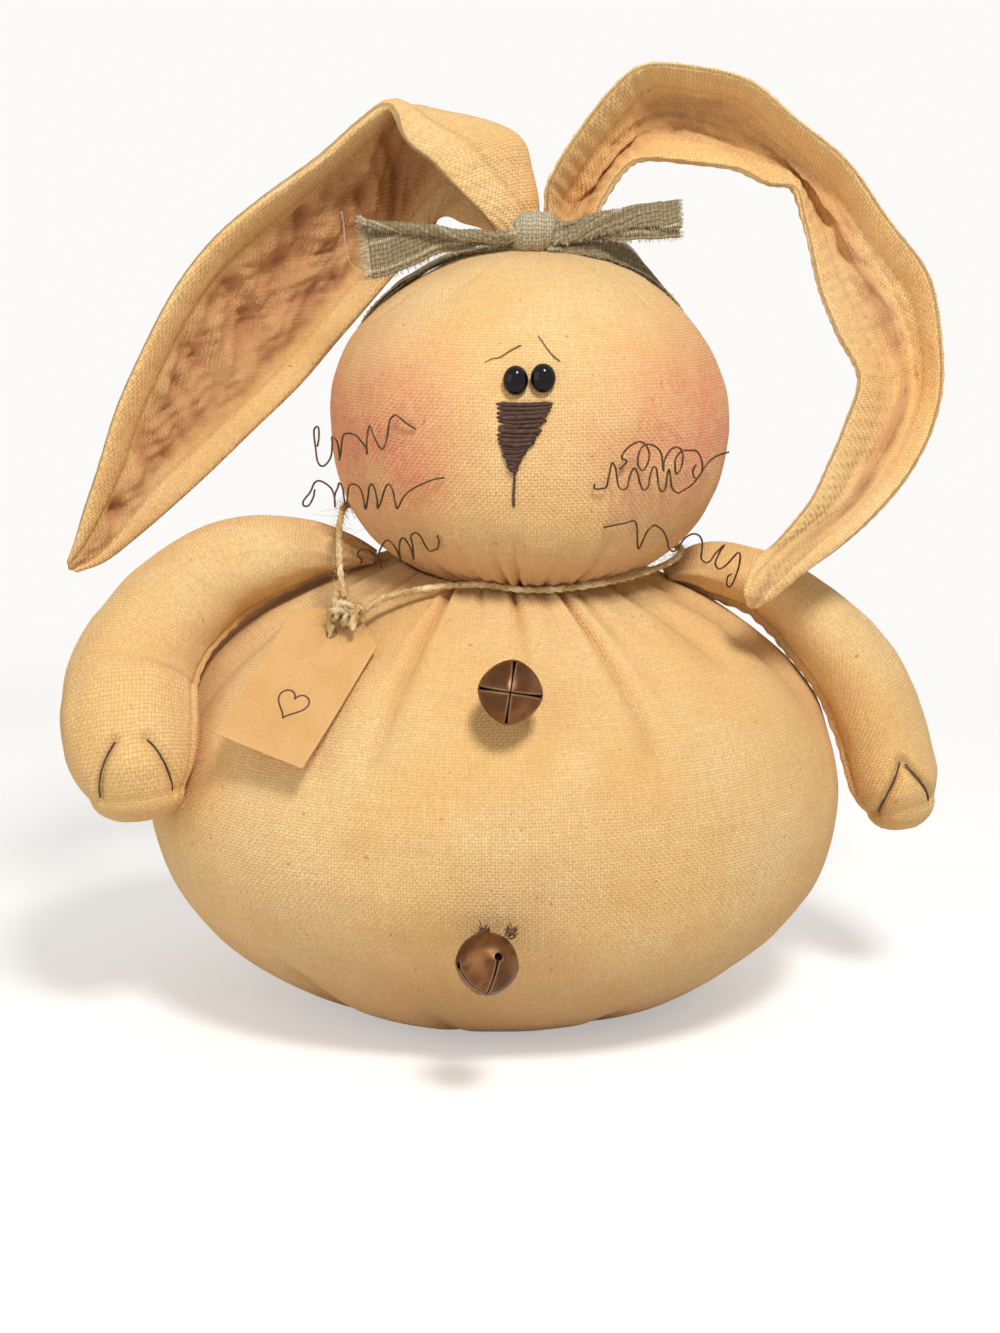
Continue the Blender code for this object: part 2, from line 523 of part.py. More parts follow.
def arm_frame(route, end):
    """Centres, half widths and half depths along an arm, with the rounded paw's last rings."""
    rows = [[*(BODY.centre + np.array(place) * BODY.half), depth * MM, width * MM]
            for place, depth, width in route]
    rows = smooth_rows(rows, ARM_RINGS)
    tip = BODY.centre + np.array(end) * BODY.half
    last = rows[-1]
    for share in ARM_END_SHARES:
        ring = last.copy()
        ring[:3] += (tip - last[:3]) * share
        ring[3:] *= math.sqrt(1 - share ** 2)
        rows = np.vstack([rows, ring])
    return rows, tip


def arm(name, route, end, material):
    rows, tip = arm_frame(route, end)
    centre, depth, width = rows[:, :3], rows[:, 3:4], rows[:, 4:5]
    along = np.gradient(centre, axis=0)
    along /= np.linalg.norm(along, axis=1, keepdims=True)
    deep = np.array([0, 1.0, 0]) - along * along[:, 1:2]
    deep /= np.linalg.norm(deep, axis=1, keepdims=True)
    wide = np.cross(along, deep)
    turn = np.arange(ARM_SEGMENTS) * 2 * np.pi / ARM_SEGMENTS
    rings = (centre[:, None] + wide[:, None] * width[:, None] * np.cos(turn)[None, :, None]
             + deep[:, None] * depth[:, None] * np.sin(turn)[None, :, None])
    rings = BODY.push_out(rings, CLOTH_GAP)
    rings = HEAD.push_out(rings, CLOTH_GAP)
    foot = rings[0].mean(axis=0)
    return add_loft(name, rings, foot, tip, material)


def arm_surface(route, end, share, turn):
    """Point on an arm's skin: share along its length, turn in degrees (0 outwards, 90 to the back)."""
    rows, tip = arm_frame(route, end)
    place = share * (len(rows) - 1)
    low = min(int(place), len(rows) - 2)
    row = rows[low] + (rows[low + 1] - rows[low]) * (place - low)
    along = rows[low + 1, :3] - rows[low, :3]
    along /= np.linalg.norm(along)
    deep = np.array([0, 1.0, 0]) - along * along[1]
    deep /= np.linalg.norm(deep)
    wide = np.cross(along, deep)
    angle = math.radians(turn)
    skin = wide * row[4] * math.cos(angle) + deep * row[3] * math.sin(angle)
    spot = row[:3] + skin
    lift = wide * math.cos(angle) / row[4] + deep * math.sin(angle) / row[3]
    return spot + lift / np.linalg.norm(lift) * (TOE_STITCH_RADIUS + SEW_GAP)


def toe_stitches(name, route, end, turns, material):
    """One thread over the paw's end, from its front round to its tip."""
    points = [arm_surface(route, end, share, turn) for share, turn in smooth_rows(turns, TOE_STITCH_POINTS)]
    return add_strand(name, points, TOE_STITCH_RADIUS, material)


def strip_rings(centres, wide, out, half_width, half_thickness):
    """Six-cornered sections of a flat strip of cloth."""
    rings = []
    for centre, across, lift, half in zip(centres, wide, out, half_width):
        face = lift * half_thickness
        edge = across * half
        rings.append([centre - edge + face, centre + face, centre + edge + face,
                      centre + edge - face, centre - face, centre - edge - face])
    return np.array(rings)


def bow_tail(name, knot, route, material):
    rows = [[*(knot + np.array(place) * MM), half * MM] for place, half in route]
    rows = smooth_rows(rows, BOW_TAIL_RINGS)
    centre = rows[:, :3]
    along = np.gradient(centre, axis=0)
    along /= np.linalg.norm(along, axis=1, keepdims=True)
    out = np.array([0, -1.0, 0]) + along * along[:, 1:2]
    out /= np.linalg.norm(out, axis=1, keepdims=True)
    wide = np.cross(along, out)
    share = np.linspace(0, 1, BOW_TAIL_RINGS)[:, None]
    centre = centre + out * share * BOW_RIPPLE * np.sin(share * BOW_RIPPLE_HALF_WAVES * np.pi)
    rings = strip_rings(centre, wide, out, rows[:, 3], BOW_TAIL_THICKNESS / 2)
    return add_loft(name, rings, rings[0].mean(axis=0), rings[-1].mean(axis=0), material)


def bow_band(name, material):
    """The strip round the head: on the cloth all the way, its two ends inside the knot."""
    lift = SEW_GAP + BOW_BAND_THICKNESS / 2
    route = smooth_rows([HEAD.toward(place) for place in BOW_BAND_ROUTE], BOW_BAND_RINGS)
    route = np.array([HEAD.toward((point - HEAD.centre) / HEAD.half) for point in route])
    out = HEAD.normal(route)
    along = np.gradient(route, axis=0)
    along /= np.linalg.norm(along, axis=1, keepdims=True)
    wide = np.cross(along, out)
    half = np.full(len(route), BOW_BAND_WIDTH / 2)
    half[0] = half[-1] = BOW_KNOT_HALF[1] / 2
    rings = strip_rings(route + out * lift, wide, out, half, BOW_BAND_THICKNESS / 2)
    rings = HEAD.push_out(rings, SEW_GAP)
    return add_loft(name, rings, rings[0].mean(axis=0), rings[-1].mean(axis=0), material)


def hair_tie(material):
    """One strip of cloth: knot, two tails and the band, joined into one solid."""
    foot = np.array([CROWN[0] + BOW_KNOT_PLACE[0] * MM, CROWN[1] + BOW_KNOT_PLACE[1] * MM, CROWN[2]])
    foot[2] = HEAD.toward((foot - HEAD.centre) / HEAD.half)[2]
    knot = foot + np.array([0, 0, BOW_KNOT_HALF[2] + SEW_GAP])
    tie = add_ball("hair_tie", knot, BOW_KNOT_HALF, 14, 9, material)
    strips = [bow_tail("tail_left", knot, BOW_TAIL_LEFT, material),
              bow_tail("tail_right", knot, BOW_TAIL_RIGHT, material),
              bow_band("band", material)]
    for strip in strips:
        join(tie, strip, "UNION")
    return tie


def add_ball(name, centre, half, segments, rows, material, shape=None):
    """An ellipsoid on its centre, turned so that its poles are up and down."""
    angle = np.linspace(-np.pi / 2, np.pi / 2, rows + 1)[1:-1]
    bearing = np.arange(segments) * 2 * np.pi / segments
    angle, bearing = np.meshgrid(angle, bearing, indexing="ij")
    across = np.cos(angle)
    unit = np.stack([across * np.cos(bearing), across * np.sin(bearing), np.sin(angle)], axis=-1)
    poles = np.array([[0, 0, -1.0], [0, 0, 1.0]])
    if shape is not None:
        unit = shape(unit)
        poles = shape(poles)
    rings = np.asarray(centre) + unit * np.asarray(half)
    ends = np.asarray(centre) + poles * np.asarray(half)
    return add_loft(name, rings, ends[0], ends[1], material)


def join(target, guide, operation):
    """Boolean on the target with a guide that isn't part of the doll itself."""
    guide.hide_render = True
    guide.display_type = "WIRE"
    step = target.modifiers.new(guide.name, "BOOLEAN")
    step.operation = operation
    step.solver = "EXACT"
    step.object = guide


def eye(name, place, material):
    """Shank bead: domed in front, flat where it sits on the cloth."""
    seat = HEAD.front(place[0] * MM, place[1] * MM)
    normal = HEAD.normal(seat)

    def domed(unit):
        shaped = unit.copy()
        shaped[..., 1] = np.where(unit[..., 1] > 0, unit[..., 1] * EYE_BACK_SHARE, unit[..., 1])
        return shaped

    centre = seat + normal * (EYE_HALF_DEPTH * EYE_BACK_SHARE + SEW_GAP + EYE_STAND_OFF)
    return add_ball(name, centre, (EYE_HALF_WIDTH, EYE_HALF_DEPTH, EYE_HALF_HEIGHT), 14, 9, material, domed)


def nose(material):
    """Satin-stitched triangle: a lens of floss, row by row down the face."""
    rows = smooth_rows(NOSE_ROWS, 10) * MM
    lifts = np.array([[thick * NOSE_THICKNESS + SEW_GAP] for _, thick in NOSE_SECTION])
    rings = []
    for z, left, right in rows:
        ring = np.array([HEAD.front(left + (right - left) * share, z) for share, _ in NOSE_SECTION])
        rings.append(ring + HEAD.normal(ring) * lifts)
    rings = np.array(rings)
    return add_loft("nose_stitches", rings, rings[0].mean(axis=0), rings[-1].mean(axis=0), material)


def face_thread(name, route, radius, count, material):
    """One thread along the face, through places given from the head's centre."""
    points = np.array([HEAD.front(x * MM, z * MM) for x, z in route])
    points = even_route(points, count)
    points = points + HEAD.normal(points) * (radius + SEW_GAP)
    return add_strand(name, points, radius, material)


def whisker_points(route, count, stand_off):
    """A crimped wire: it leaves the cheek at its root, stands off it and stays in front of its outline."""
    flat = np.array([(x, 0, z) for x, z in route], float)
    flat = even_route(flat, count) * MM
    share = np.linspace(0, 1, count)
    lift = SEW_GAP + WHISKER_RADIUS + stand_off * np.clip(share / WHISKER_LIFT_SHARE, 0, 1)
    points = []
    for (x, _, z), off in zip(flat, lift):
        ring = max(1 - abs(z / HEAD.half[2]) ** HEAD.lower, 0.05) ** (1 / HEAD.lower)
        edge = HEAD.half[0] * ring * WHISKER_EDGE_SHARE
        near = HEAD.front(np.clip(x, -edge, edge), z)
        points.append([HEAD.centre[0] + x, near[1] - off, HEAD.centre[2] + z])
    points = np.array(points)
    points[0] = HEAD.push_out(points[:1], SEW_GAP + WHISKER_RADIUS)[0]
    return HEAD.push_out(points, SEW_GAP + WHISKER_RADIUS)


def whisker(place, route, material):
    points = whisker_points(route, int(len(route) * WHISKER_POINTS_PER_BEND), WHISKER_LIFTS[place])
    return add_strand("whisker_" + place, points, WHISKER_RADIUS, material)


def bell_frame(place, rise, roll):
    """Centre of a bell that stands off the belly by its shank, and the turn of its slots."""
    seat = BODY.front(place[0] * BODY.half[0], place[1] * BODY.half[2])
    normal = BODY.normal(seat)
    shank = 2 * (SHANK_RING_RADIUS + SHANK_WIRE_RADIUS)
    centre = seat + normal * (BELL_RADIUS + shank + 2 * LOOP_GAP)
    turn = Matrix.Rotation(math.radians(90 - rise), 3, "X") @ Matrix.Rotation(math.radians(roll), 3, "Z")
    return seat, normal, centre, turn


def add_box(name, centre, size, turn, material):
    """A cutter: a box turned with the bell."""
    half = Vector(size) / 2
    corners = [Vector((x * half.x, y * half.y, z * half.z))
               for x in (-1, 1) for y in (-1, 1) for z in (-1, 1)]
    points = [Vector(centre) + turn @ corner for corner in corners]
    faces = [(0, 1, 3, 2), (4, 6, 7, 5), (0, 4, 5, 1), (2, 3, 7, 6), (0, 2, 6, 4), (1, 5, 7, 3)]
    return add_mesh(name, points, faces, material)


def bell_shape(unit):
    """Round at the back, pressed towards four leaves at the slotted end."""
    press = np.clip((unit[..., 2] + 0.2) / 0.6, 0, 1)
    power = (2 - (2 - BELL_SQUARENESS) * press)[..., None]
    size = (np.abs(unit) ** power).sum(axis=-1, keepdims=True) ** (1 / power)
    return unit / size


def bell(name, place, rise, roll, shell_finish, wire_finish, thread_finish):
    seat, normal, centre, turn = bell_frame(place, rise, roll)
    shell = add_ball(name + "_shell", (0, 0, 0), (BELL_RADIUS,) * 3, 20, 12, shell_finish, bell_shape)
    shell.data.transform(turn.to_4x4())
    shell.data.transform(Matrix.Translation(Vector(centre)))
    wall = shell.modifiers.new("wall", "SOLIDIFY")
    wall.thickness = BELL_WALL
    wall.offset = -1
    depth = BELL_RADIUS + BELL_WALL
    middle = Vector(centre) + turn @ Vector((0, 0, BELL_SLOT_START + depth / 2))
    for axis in (0, 1):
        size = [BELL_SLOT_WIDTH, BELL_SLOT_WIDTH, depth]
        size[axis] = 2 * BELL_RADIUS + 2 * BELL_WALL
        join(shell, add_box(f"{name}_slot_{axis}", middle, size, turn, shell_finish), "DIFFERENCE")
    fall = np.array(turn.inverted() @ Vector((0, 0, -1)))
    inner = np.linalg.norm(bell_shape(fall)) * BELL_RADIUS - BELL_WALL - BELL_FACET_SAG
    ball_centre = centre - np.array([0, 0, inner - BELL_BALL_RADIUS - LOOP_GAP])
    add_ball(name + "_ball", ball_centre, (BELL_BALL_RADIUS,) * 3, 10, 6, shell_finish)
    shank(name, seat, normal, centre, wire_finish, thread_finish)
    return shell


def shank(name, seat, normal, centre, wire_finish, thread_finish):
    """Wire ring on the bell's back, standing on the cloth, and the thread that holds it."""
    side = np.array([1.0, 0, 0])
    side -= normal * side.dot(normal)
    side /= np.linalg.norm(side)
    up = np.cross(side, normal)
    reach = SHANK_RING_RADIUS + SHANK_WIRE_RADIUS
    hub = seat + normal * (reach + LOOP_GAP)
    ring = [hub + (up * math.cos(turn) + normal * math.sin(turn)) * SHANK_RING_RADIUS
            for turn in np.arange(12) * 2 * math.pi / 12]
    add_strand(name + "_shank", ring, SHANK_WIRE_RADIUS, wire_finish, 0, True)
    foot = BELL_THREAD_RADIUS + LOOP_GAP
    rise = reach + LOOP_GAP - foot
    thread = [seat + side * across * BELL_THREAD_HALF + normal * (foot + rise * height)
              for across, height in BELL_THREAD_BENDS]
    thread = BODY.push_out(thread, foot)
    add_strand(name + "_thread", thread, BELL_THREAD_RADIUS, thread_finish)


def tag_frame():
    """Middle of the tag's back face and its directions: across, up its length, and out."""
    seat = BODY.front(TAG_PLACE[0] * BODY.half[0], TAG_PLACE[1] * BODY.half[2])
    down = np.array(TAG_DOWN) / np.linalg.norm(TAG_DOWN)
    middle = seat + BODY.normal(seat) * TAG_LIFT - down * TAG_CORNER_DROP / 2
    across = np.array(TAG_ACROSS) - down * np.dot(TAG_ACROSS, down)
    across /= np.linalg.norm(across)
    out = np.cross(down, across)
    if out[1] > 0:
        out = -out
    return middle, across, -down, out


def hang_tag(material):
    """Card with two cut corners and a punched hole."""
    middle, across, up, out = tag_frame()
    w = TAG_WIDTH / 2
    l = TAG_LENGTH / 2
    outline = [(-w, -l), (w, -l), (w, l - TAG_CORNER_DROP), (w - TAG_CORNER, l), (-w + TAG_CORNER, l),
               (-w, l - TAG_CORNER_DROP)]
    points = [middle + across * x + up * y + out * z for z in (0, TAG_THICKNESS) for x, y in outline]
    count = len(outline)
    faces = [tuple(range(count)), tuple(range(2 * count - 1, count - 1, -1))]
    faces += [(i, i + count, (i + 1) % count + count, (i + 1) % count) for i in range(count)]
    plate = add_solid("hang_tag", points, faces, material)
    hole = tag_hole()
    ring = []
    for depth in (-3 * TAG_THICKNESS, 4 * TAG_THICKNESS):
        ring.append([hole + out * depth + (across * math.cos(turn) + up * math.sin(turn)) * TAG_HOLE_RADIUS
                     for turn in np.arange(12) * 2 * math.pi / 12])
    ring = np.array(ring)
    punch = add_loft("punch", ring, ring[0].mean(axis=0), ring[1].mean(axis=0), material)
    join(plate, punch, "DIFFERENCE")
    plate.data.shade_flat()
    return plate


def add_solid(name, points, faces, material):
    """A faceted solid with its faces turned outwards."""
    points = np.array(points)
    volume = sum(np.dot(points[f[0]], np.cross(points[f[k]], points[f[k + 1]]))
                 for f in faces for k in range(1, len(f) - 1))
    if volume < 0:
        faces = [face[::-1] for face in faces]
    return add_mesh(name, points, faces, material)


def tag_hole():
    middle, _, up, _ = tag_frame()
    return middle + up * (TAG_LENGTH / 2 - TAG_HOLE_INSET)


def knot_centre():
    """The knot stands in front of the card, above its hole."""
    _, across, up, out = tag_frame()
    front = TAG_THICKNESS + TWINE_KNOT_HALF[1] + LOOP_GAP
    return tag_hole() + up * TWINE_KNOT_RISE + across * TWINE_KNOT_SIDE + out * front


def tag_loop(material):
    """Strand from the knot through the tag's hole, up behind the card and over its edge to the knot."""
    _, _, up, out = tag_frame()
    away = TAG_LOOP_RADIUS + LOOP_GAP
    front = TAG_THICKNESS + away
    low = -(TAG_HOLE_RADIUS - away)
    edge = TAG_HOLE_INSET + away
    start = TWINE_KNOT_RISE - TWINE_KNOT_HALF[2] - LOOP_GAP
    end = TWINE_KNOT_RISE + TWINE_KNOT_HALF[2] * TAG_LOOP_KNOT_SHARE
    route = [(start, front + TAG_LOOP_START_SWING), ((start + low) / 2, front + TAG_LOOP_HALF_SWING),
             (low, TAG_THICKNESS / 2), (low + TAG_LOOP_BACK_RISE, -away), (edge * TAG_LOOP_BACK_SHARE, -away),
             (edge + TAG_LOOP_EDGE_RISE, -away * TAG_LOOP_EDGE_SHARE), (end, front + TAG_LOOP_END_SWING)]
    hole = tag_hole()
    points = [hole + up * along + out * depth for along, depth in route]
    return add_strand("tag_loop", even_route(points, TAG_LOOP_POINTS), TAG_LOOP_RADIUS, material)


def twine_points():
    route = np.array(TWINE_ROUTE, float) * MM
    return even_route(route, TWINE_POINTS)


def neck_twine(material):
    return add_strand("neck_twine", twine_points(), TWINE_RADIUS, material, 2)


def twine_knot(material):
    _, _, up, out = tag_frame()
    knot = add_ball("twine_knot", (0, 0, 0), TWINE_KNOT_HALF, 12, 8, material)
    knot.data.transform(Matrix([np.cross(out, up), out, up]).transposed().to_4x4())
    knot.data.transform(Matrix.Translation(Vector(knot_centre())))
    return knot


def build():
    clear_scene()
    muslin = finish("muslin", MUSLIN, 0.92)
    muslin_dirty = finish("muslin_stained", MUSLIN_DIRTY, 0.92)
    sage = finish("homespun_sage", SAGE, 0.95)
    bead = finish("glass_bead", BEAD_BLACK, 0.08)
    floss = finish("floss", FLOSS_PLUM, 0.7)
    dark_thread = finish("thread_dark", THREAD_DARK, 0.8)
    brown_thread = finish("thread_brown", THREAD_BROWN, 0.8)
    wire = finish("rusty_wire", RUSTY_WIRE, 0.55, 0.7)
    bell_metal = finish("rusty_bell", RUSTY_BELL, 0.42, 0.85)
    kraft = finish("kraft", KRAFT, 0.85)
    jute = finish("jute", JUTE, 0.95)

    body(muslin_dirty)
    head(muslin)
    ear("ear_left", EAR_LEFT_SEAT, EAR_LEFT_ROUTE, muslin)
    ear("ear_right", EAR_RIGHT_SEAT, EAR_RIGHT_ROUTE, muslin)
    arm("arm_left", ARM_LEFT_ROUTE, ARM_LEFT_END, muslin)
    arm("arm_right", ARM_RIGHT_ROUTE, ARM_RIGHT_END, muslin)
    hair_tie(sage)

    eye("eye_left", EYE_LEFT_PLACE, bead)
    eye("eye_right", EYE_RIGHT_PLACE, bead)
    nose(floss)
    face_thread("mouth_stitch", MOUTH_ROUTE, MOUTH_RADIUS, 6, dark_thread)
    face_thread("brow_left", BROW_LEFT_ROUTE, BROW_RADIUS, 7, brown_thread)
    face_thread("brow_right", BROW_RIGHT_ROUTE, BROW_RADIUS, 7, brown_thread)
    whisker("left_upper", WHISKER_LEFT_UPPER, wire)
    whisker("left_middle", WHISKER_LEFT_MIDDLE, wire)
    whisker("left_lower", WHISKER_LEFT_LOWER, wire)
    whisker("right_upper", WHISKER_RIGHT_UPPER, wire)
    whisker("right_middle", WHISKER_RIGHT_MIDDLE, wire)
    whisker("right_lower", WHISKER_RIGHT_LOWER, wire)

    toe_stitches("toe_stitch_left_outer", ARM_LEFT_ROUTE, ARM_LEFT_END, TOE_LEFT_OUTER, dark_thread)
    toe_stitches("toe_stitch_left_inner", ARM_LEFT_ROUTE, ARM_LEFT_END, TOE_LEFT_INNER, dark_thread)
    toe_stitches("toe_stitch_right_outer", ARM_RIGHT_ROUTE, ARM_RIGHT_END, TOE_RIGHT_OUTER, dark_thread)
    toe_stitches("toe_stitch_right_inner", ARM_RIGHT_ROUTE, ARM_RIGHT_END, TOE_RIGHT_INNER, dark_thread)

    bell("bell_upper", BELL_UPPER_PLACE, BELL_UPPER_RISE, BELL_UPPER_ROLL, bell_metal, wire, brown_thread)
    bell("bell_lower", BELL_LOWER_PLACE, BELL_LOWER_RISE, BELL_LOWER_ROLL, bell_metal, wire, brown_thread)
    hang_tag(kraft)
    tag_loop(jute)
    twine_knot(jute)
    neck_twine(jute)


build()
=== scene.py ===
"""Looks of the primitive rabbit doll: muslin, homespun, jute, rusty bells and a kraft tag."""

import bmesh
import bpy
import numpy as np
from mathutils import Matrix, Vector


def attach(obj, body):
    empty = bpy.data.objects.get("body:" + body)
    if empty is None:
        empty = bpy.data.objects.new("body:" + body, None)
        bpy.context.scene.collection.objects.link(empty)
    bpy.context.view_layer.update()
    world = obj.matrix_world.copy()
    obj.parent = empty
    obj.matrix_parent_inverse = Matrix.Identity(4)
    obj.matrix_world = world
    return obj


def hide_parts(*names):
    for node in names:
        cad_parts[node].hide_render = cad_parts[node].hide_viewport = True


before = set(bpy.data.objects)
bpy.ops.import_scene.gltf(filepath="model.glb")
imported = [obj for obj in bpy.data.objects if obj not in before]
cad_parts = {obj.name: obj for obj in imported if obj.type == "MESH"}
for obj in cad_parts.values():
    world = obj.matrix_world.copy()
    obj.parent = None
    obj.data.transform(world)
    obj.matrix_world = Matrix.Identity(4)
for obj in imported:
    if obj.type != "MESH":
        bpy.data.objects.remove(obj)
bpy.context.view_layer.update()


# Camera: in front of the doll and a little above it, looking down by twelve degrees.
# One millimetre at the doll's middle is three pixels of a picture 1000 pixels wide.
MM = 0.001
VIEW_TARGET = Vector((-2.5, 0, 114)) * MM
VIEW_DISTANCE = 700 * MM
VIEW_TILT = np.radians(12)
VIEW_LENS = 56.6


def add_object(name, data):
    """An object in the scene, with its mesh, lamp or lens."""
    thing = bpy.data.objects.new(name, data)
    bpy.context.collection.objects.link(thing)
    return thing


lens = bpy.data.cameras.new("camera")
lens.lens = VIEW_LENS
lens.sensor_width = 36
camera = add_object("camera", lens)
camera.location = VIEW_TARGET + VIEW_DISTANCE * Vector((0, -np.cos(VIEW_TILT), np.sin(VIEW_TILT)))
camera.rotation_euler = (np.pi / 2 - VIEW_TILT, 0, 0)
bpy.context.scene.camera = camera


# Studio: a pale table, a pale room and three soft lamps. The main lamp is above and in front of
# the doll, a little to its left, so that shadows fall under the bells, the tag and the chin.
LAMPS = {  # name: (place in metres, edge in metres, watts)
    "lamp_main": ((0.2, -0.68, 0.94), 0.22, 8.5),
    "lamp_side": ((-0.95, -0.75, 0.45), 0.9, 3.7),
    "lamp_back": ((0.5, 0.7, 0.9), 1.6, 3.0),
}
ROOM_LIGHT = 0.27
WHITE = (1.0, 0.985, 0.965, 1)
WHITE_STRENGTH = 0.97
TABLE_HALF = 4  # metres
TABLE_GREY = (0.78, 0.77, 0.75, 1)
TABLE_FADE = (0.2, 0.75)  # metres from the doll where the table starts and ends to turn white
TABLE_LIFT = 0.42
BLACK = (0, 0, 0, 1)


def add_lamp(name, place, edge, watts):
    """A square soft lamp that looks at the doll's middle."""
    lamp = bpy.data.lights.new(name, "AREA")
    lamp.size = edge
    lamp.energy = watts
    holder = add_object(name, lamp)
    holder.location = place
    holder.rotation_euler = (VIEW_TARGET - Vector(place)).to_track_quat("-Z", "Y").to_euler()


for lamp_name, lamp_values in LAMPS.items():
    add_lamp(lamp_name, *lamp_values)


class Finish:
    """A node material. Inputs are numbers, colours or the outputs of other nodes."""

    def __init__(self, name, tree=None):
        if tree is None:
            self.material = bpy.data.materials.new(name)
            self.material.use_nodes = True
            tree = self.material.node_tree
        self.tree = tree

    def feed(self, socket, value):
        """Gives a socket its value, or links it to the output of another node."""
        if isinstance(value, bpy.types.NodeSocket):
            self.tree.links.new(value, socket)
        else:
            socket.default_value = value

    def node(self, kind, inputs=(), **settings):
        """A node with its settings, and its inputs given by name or number."""
        node = self.tree.nodes.new("ShaderNode" + kind)
        for name, value in settings.items():
            setattr(node, name, value)
        for name, value in dict(inputs).items():
            self.feed(node.inputs[name], value)
        return node

    def shade(self, **inputs):
        """The principled shader's inputs, with underscores for spaces."""
        shader = self.tree.nodes["Principled BSDF"]
        for name, value in inputs.items():
            self.feed(shader.inputs[name.replace("_", " ")], value)

    def calc(self, operation, *values):
        """One sum on one to three numbers."""
        return self.node("Math", dict(enumerate(values)), operation=operation).outputs[0]

    def mix(self, share, first, second):
        """Two colours mixed by a share."""
        return self.node("Mix", {0: share, 6: first, 7: second}, data_type="RGBA").outputs[2]

    def noise(self, where, scale, detail=2.0, stretch=(1, 1, 1)):
        """Soft noise about 0.5, stretched along the axes that have small numbers."""
        turned = self.node("Mapping", {"Vector": where, "Scale": stretch}).outputs[0]
        return self.node("TexNoise", {"Vector": turned, "Scale": scale, "Detail": detail}).outputs[0]

    def ease(self, value, low, high, start=0.0, end=1.0):
        """A value taken smoothly from start to end as it goes from low to high."""
        inputs = {0: value, 1: low, 2: high, 3: start, 4: end}
        return self.node("MapRange", inputs, interpolation_type="SMOOTHSTEP").outputs[0]

    def coats(self, tone, *layers):
        """Colours over a tone, one after another. Each layer is a colour, a value and what ease takes
        to make the layer's share of the value."""
        for colour, value, *limits in layers:
            tone = self.mix(self.ease(value, *limits), tone, colour)
        return tone

    def bump(self, height, depth, below=None):
        """A normal from a height of 0 to 1 that stands for a depth in metres."""
        inputs = {"Height": height, "Distance": depth}
        if below is not None:
            inputs["Normal"] = below
        return self.node("Bump", inputs).outputs[0]

    def seen(self):
        """1 for rays from the camera and for what shows in gloss or through clear things, else 0."""
        paths = self.node("LightPath").outputs
        gloss = self.calc("MAXIMUM", paths["Is Glossy Ray"], paths["Is Transmission Ray"])
        return self.calc("MAXIMUM", paths["Is Camera Ray"], gloss)

    def place(self):
        """The point in metres in the doll's own frame."""
        return self.node("TexCoord").outputs["Object"]

    def cloth(self):
        """The point on the cloth in millimetres, along and across the threads."""
        return self.node("UVMap", uv_map="cloth").outputs[0]

    def tint(self):
        """The piece's own painted values: painted shade and highlights, blush, stains and dye."""
        colour = self.node("Attribute", attribute_name="tint").outputs["Color"]
        return self.node("SeparateColor", {0: colour}).outputs


def pale_room():
    """A room that lights the doll softly and looks near white to the camera and in gloss."""
    world = bpy.data.worlds.new("room")
    world.use_nodes = True
    bpy.context.scene.world = world
    room = Finish("room", world.node_tree)
    strength = room.ease(room.seen(), 0, 1, ROOM_LIGHT, WHITE_STRENGTH)
    background = world.node_tree.nodes["Background"].inputs
    room.feed(background["Color"], WHITE)
    room.feed(background["Strength"], strength)


def pale_table():
    """A wide flat table top. It keeps the shadow near the doll, and to the camera and in gloss it
    goes over to the room's own white farther away."""
    mesh = bpy.data.meshes.new("table")
    corners = [(x * TABLE_HALF, y * TABLE_HALF, 0) for x, y in ((-1, -1), (1, -1), (1, 1), (-1, 1))]
    mesh.from_pydata(corners, [], [(0, 1, 2, 3)])
    top = add_object("table", mesh)
    finish = Finish("pale_table")
    away = finish.node("VectorMath", {0: finish.place()}, operation="LENGTH").outputs["Value"]
    seen = finish.seen()
    far = finish.calc("MULTIPLY", seen, finish.ease(away, *TABLE_FADE))
    lift = finish.calc("MULTIPLY", seen, finish.ease(away, *TABLE_FADE, TABLE_LIFT, WHITE_STRENGTH))
    tone = finish.mix(far, TABLE_GREY, BLACK)
    finish.shade(Base_Color=tone, Roughness=0.9, Specular_IOR_Level=0.0, Emission_Color=WHITE,
                 Emission_Strength=lift)
    mesh.materials.append(finish.material)


pale_room()
pale_table()
bpy.context.scene.view_settings.view_transform = "Standard"


# Neck twine: one strand of two-ply jute, about 2 mm thick, laid round the neck and knotted at the
# doll's right. Its hairs stand off it, and its knot holds the tag's loop.
TWINE_ROUTE = np.array([
    (-44, -54.8, 143.3), (-38.5, -50.5, 146), (-31, -46.5, 147.5), (-22, -43.5, 148.5), (-9, -42.5, 149),
    (6, -42.2, 147.3), (20, -40.7, 147.7), (34.2, -35.7, 149.3), (46, -26, 151), (54, -13, 152.2),
    (57.5, 1, 153.4), (54, 16, 153), (42, 27, 152), (26, 34, 151.5), (8, 36, 151.5), (-12, 33, 152.5),
    (-29, 26, 156), (-42, 15, 162), (-50.2, 2, 167.8), (-52.5, -14, 169.5), (-53, -27, 167),
    (-52.8, -37, 162), (-52, -45, 156.5), (-51, -51, 151.5), (-50, -54.7, 147.2)]) * MM
TWINE_RADIUS = 1.0 * MM
TWINE_STATIONS = 420
TWINE_TWIST = 2 * np.pi / (7 * MM)
TWINE_SIDES = 14
JUTE_HAIR_RADIUS = 0.05 * MM
JUTE = (0.80, 0.58, 0.27, 1)
JUTE_PALE = (0.95, 0.80, 0.50, 1)
JUTE_DARK = (0.50, 0.30, 0.11, 1)
# Millimetres between the starts of neighbouring strands in the cloth coordinates, so they differ
STRAND_SHIFT = 7.3


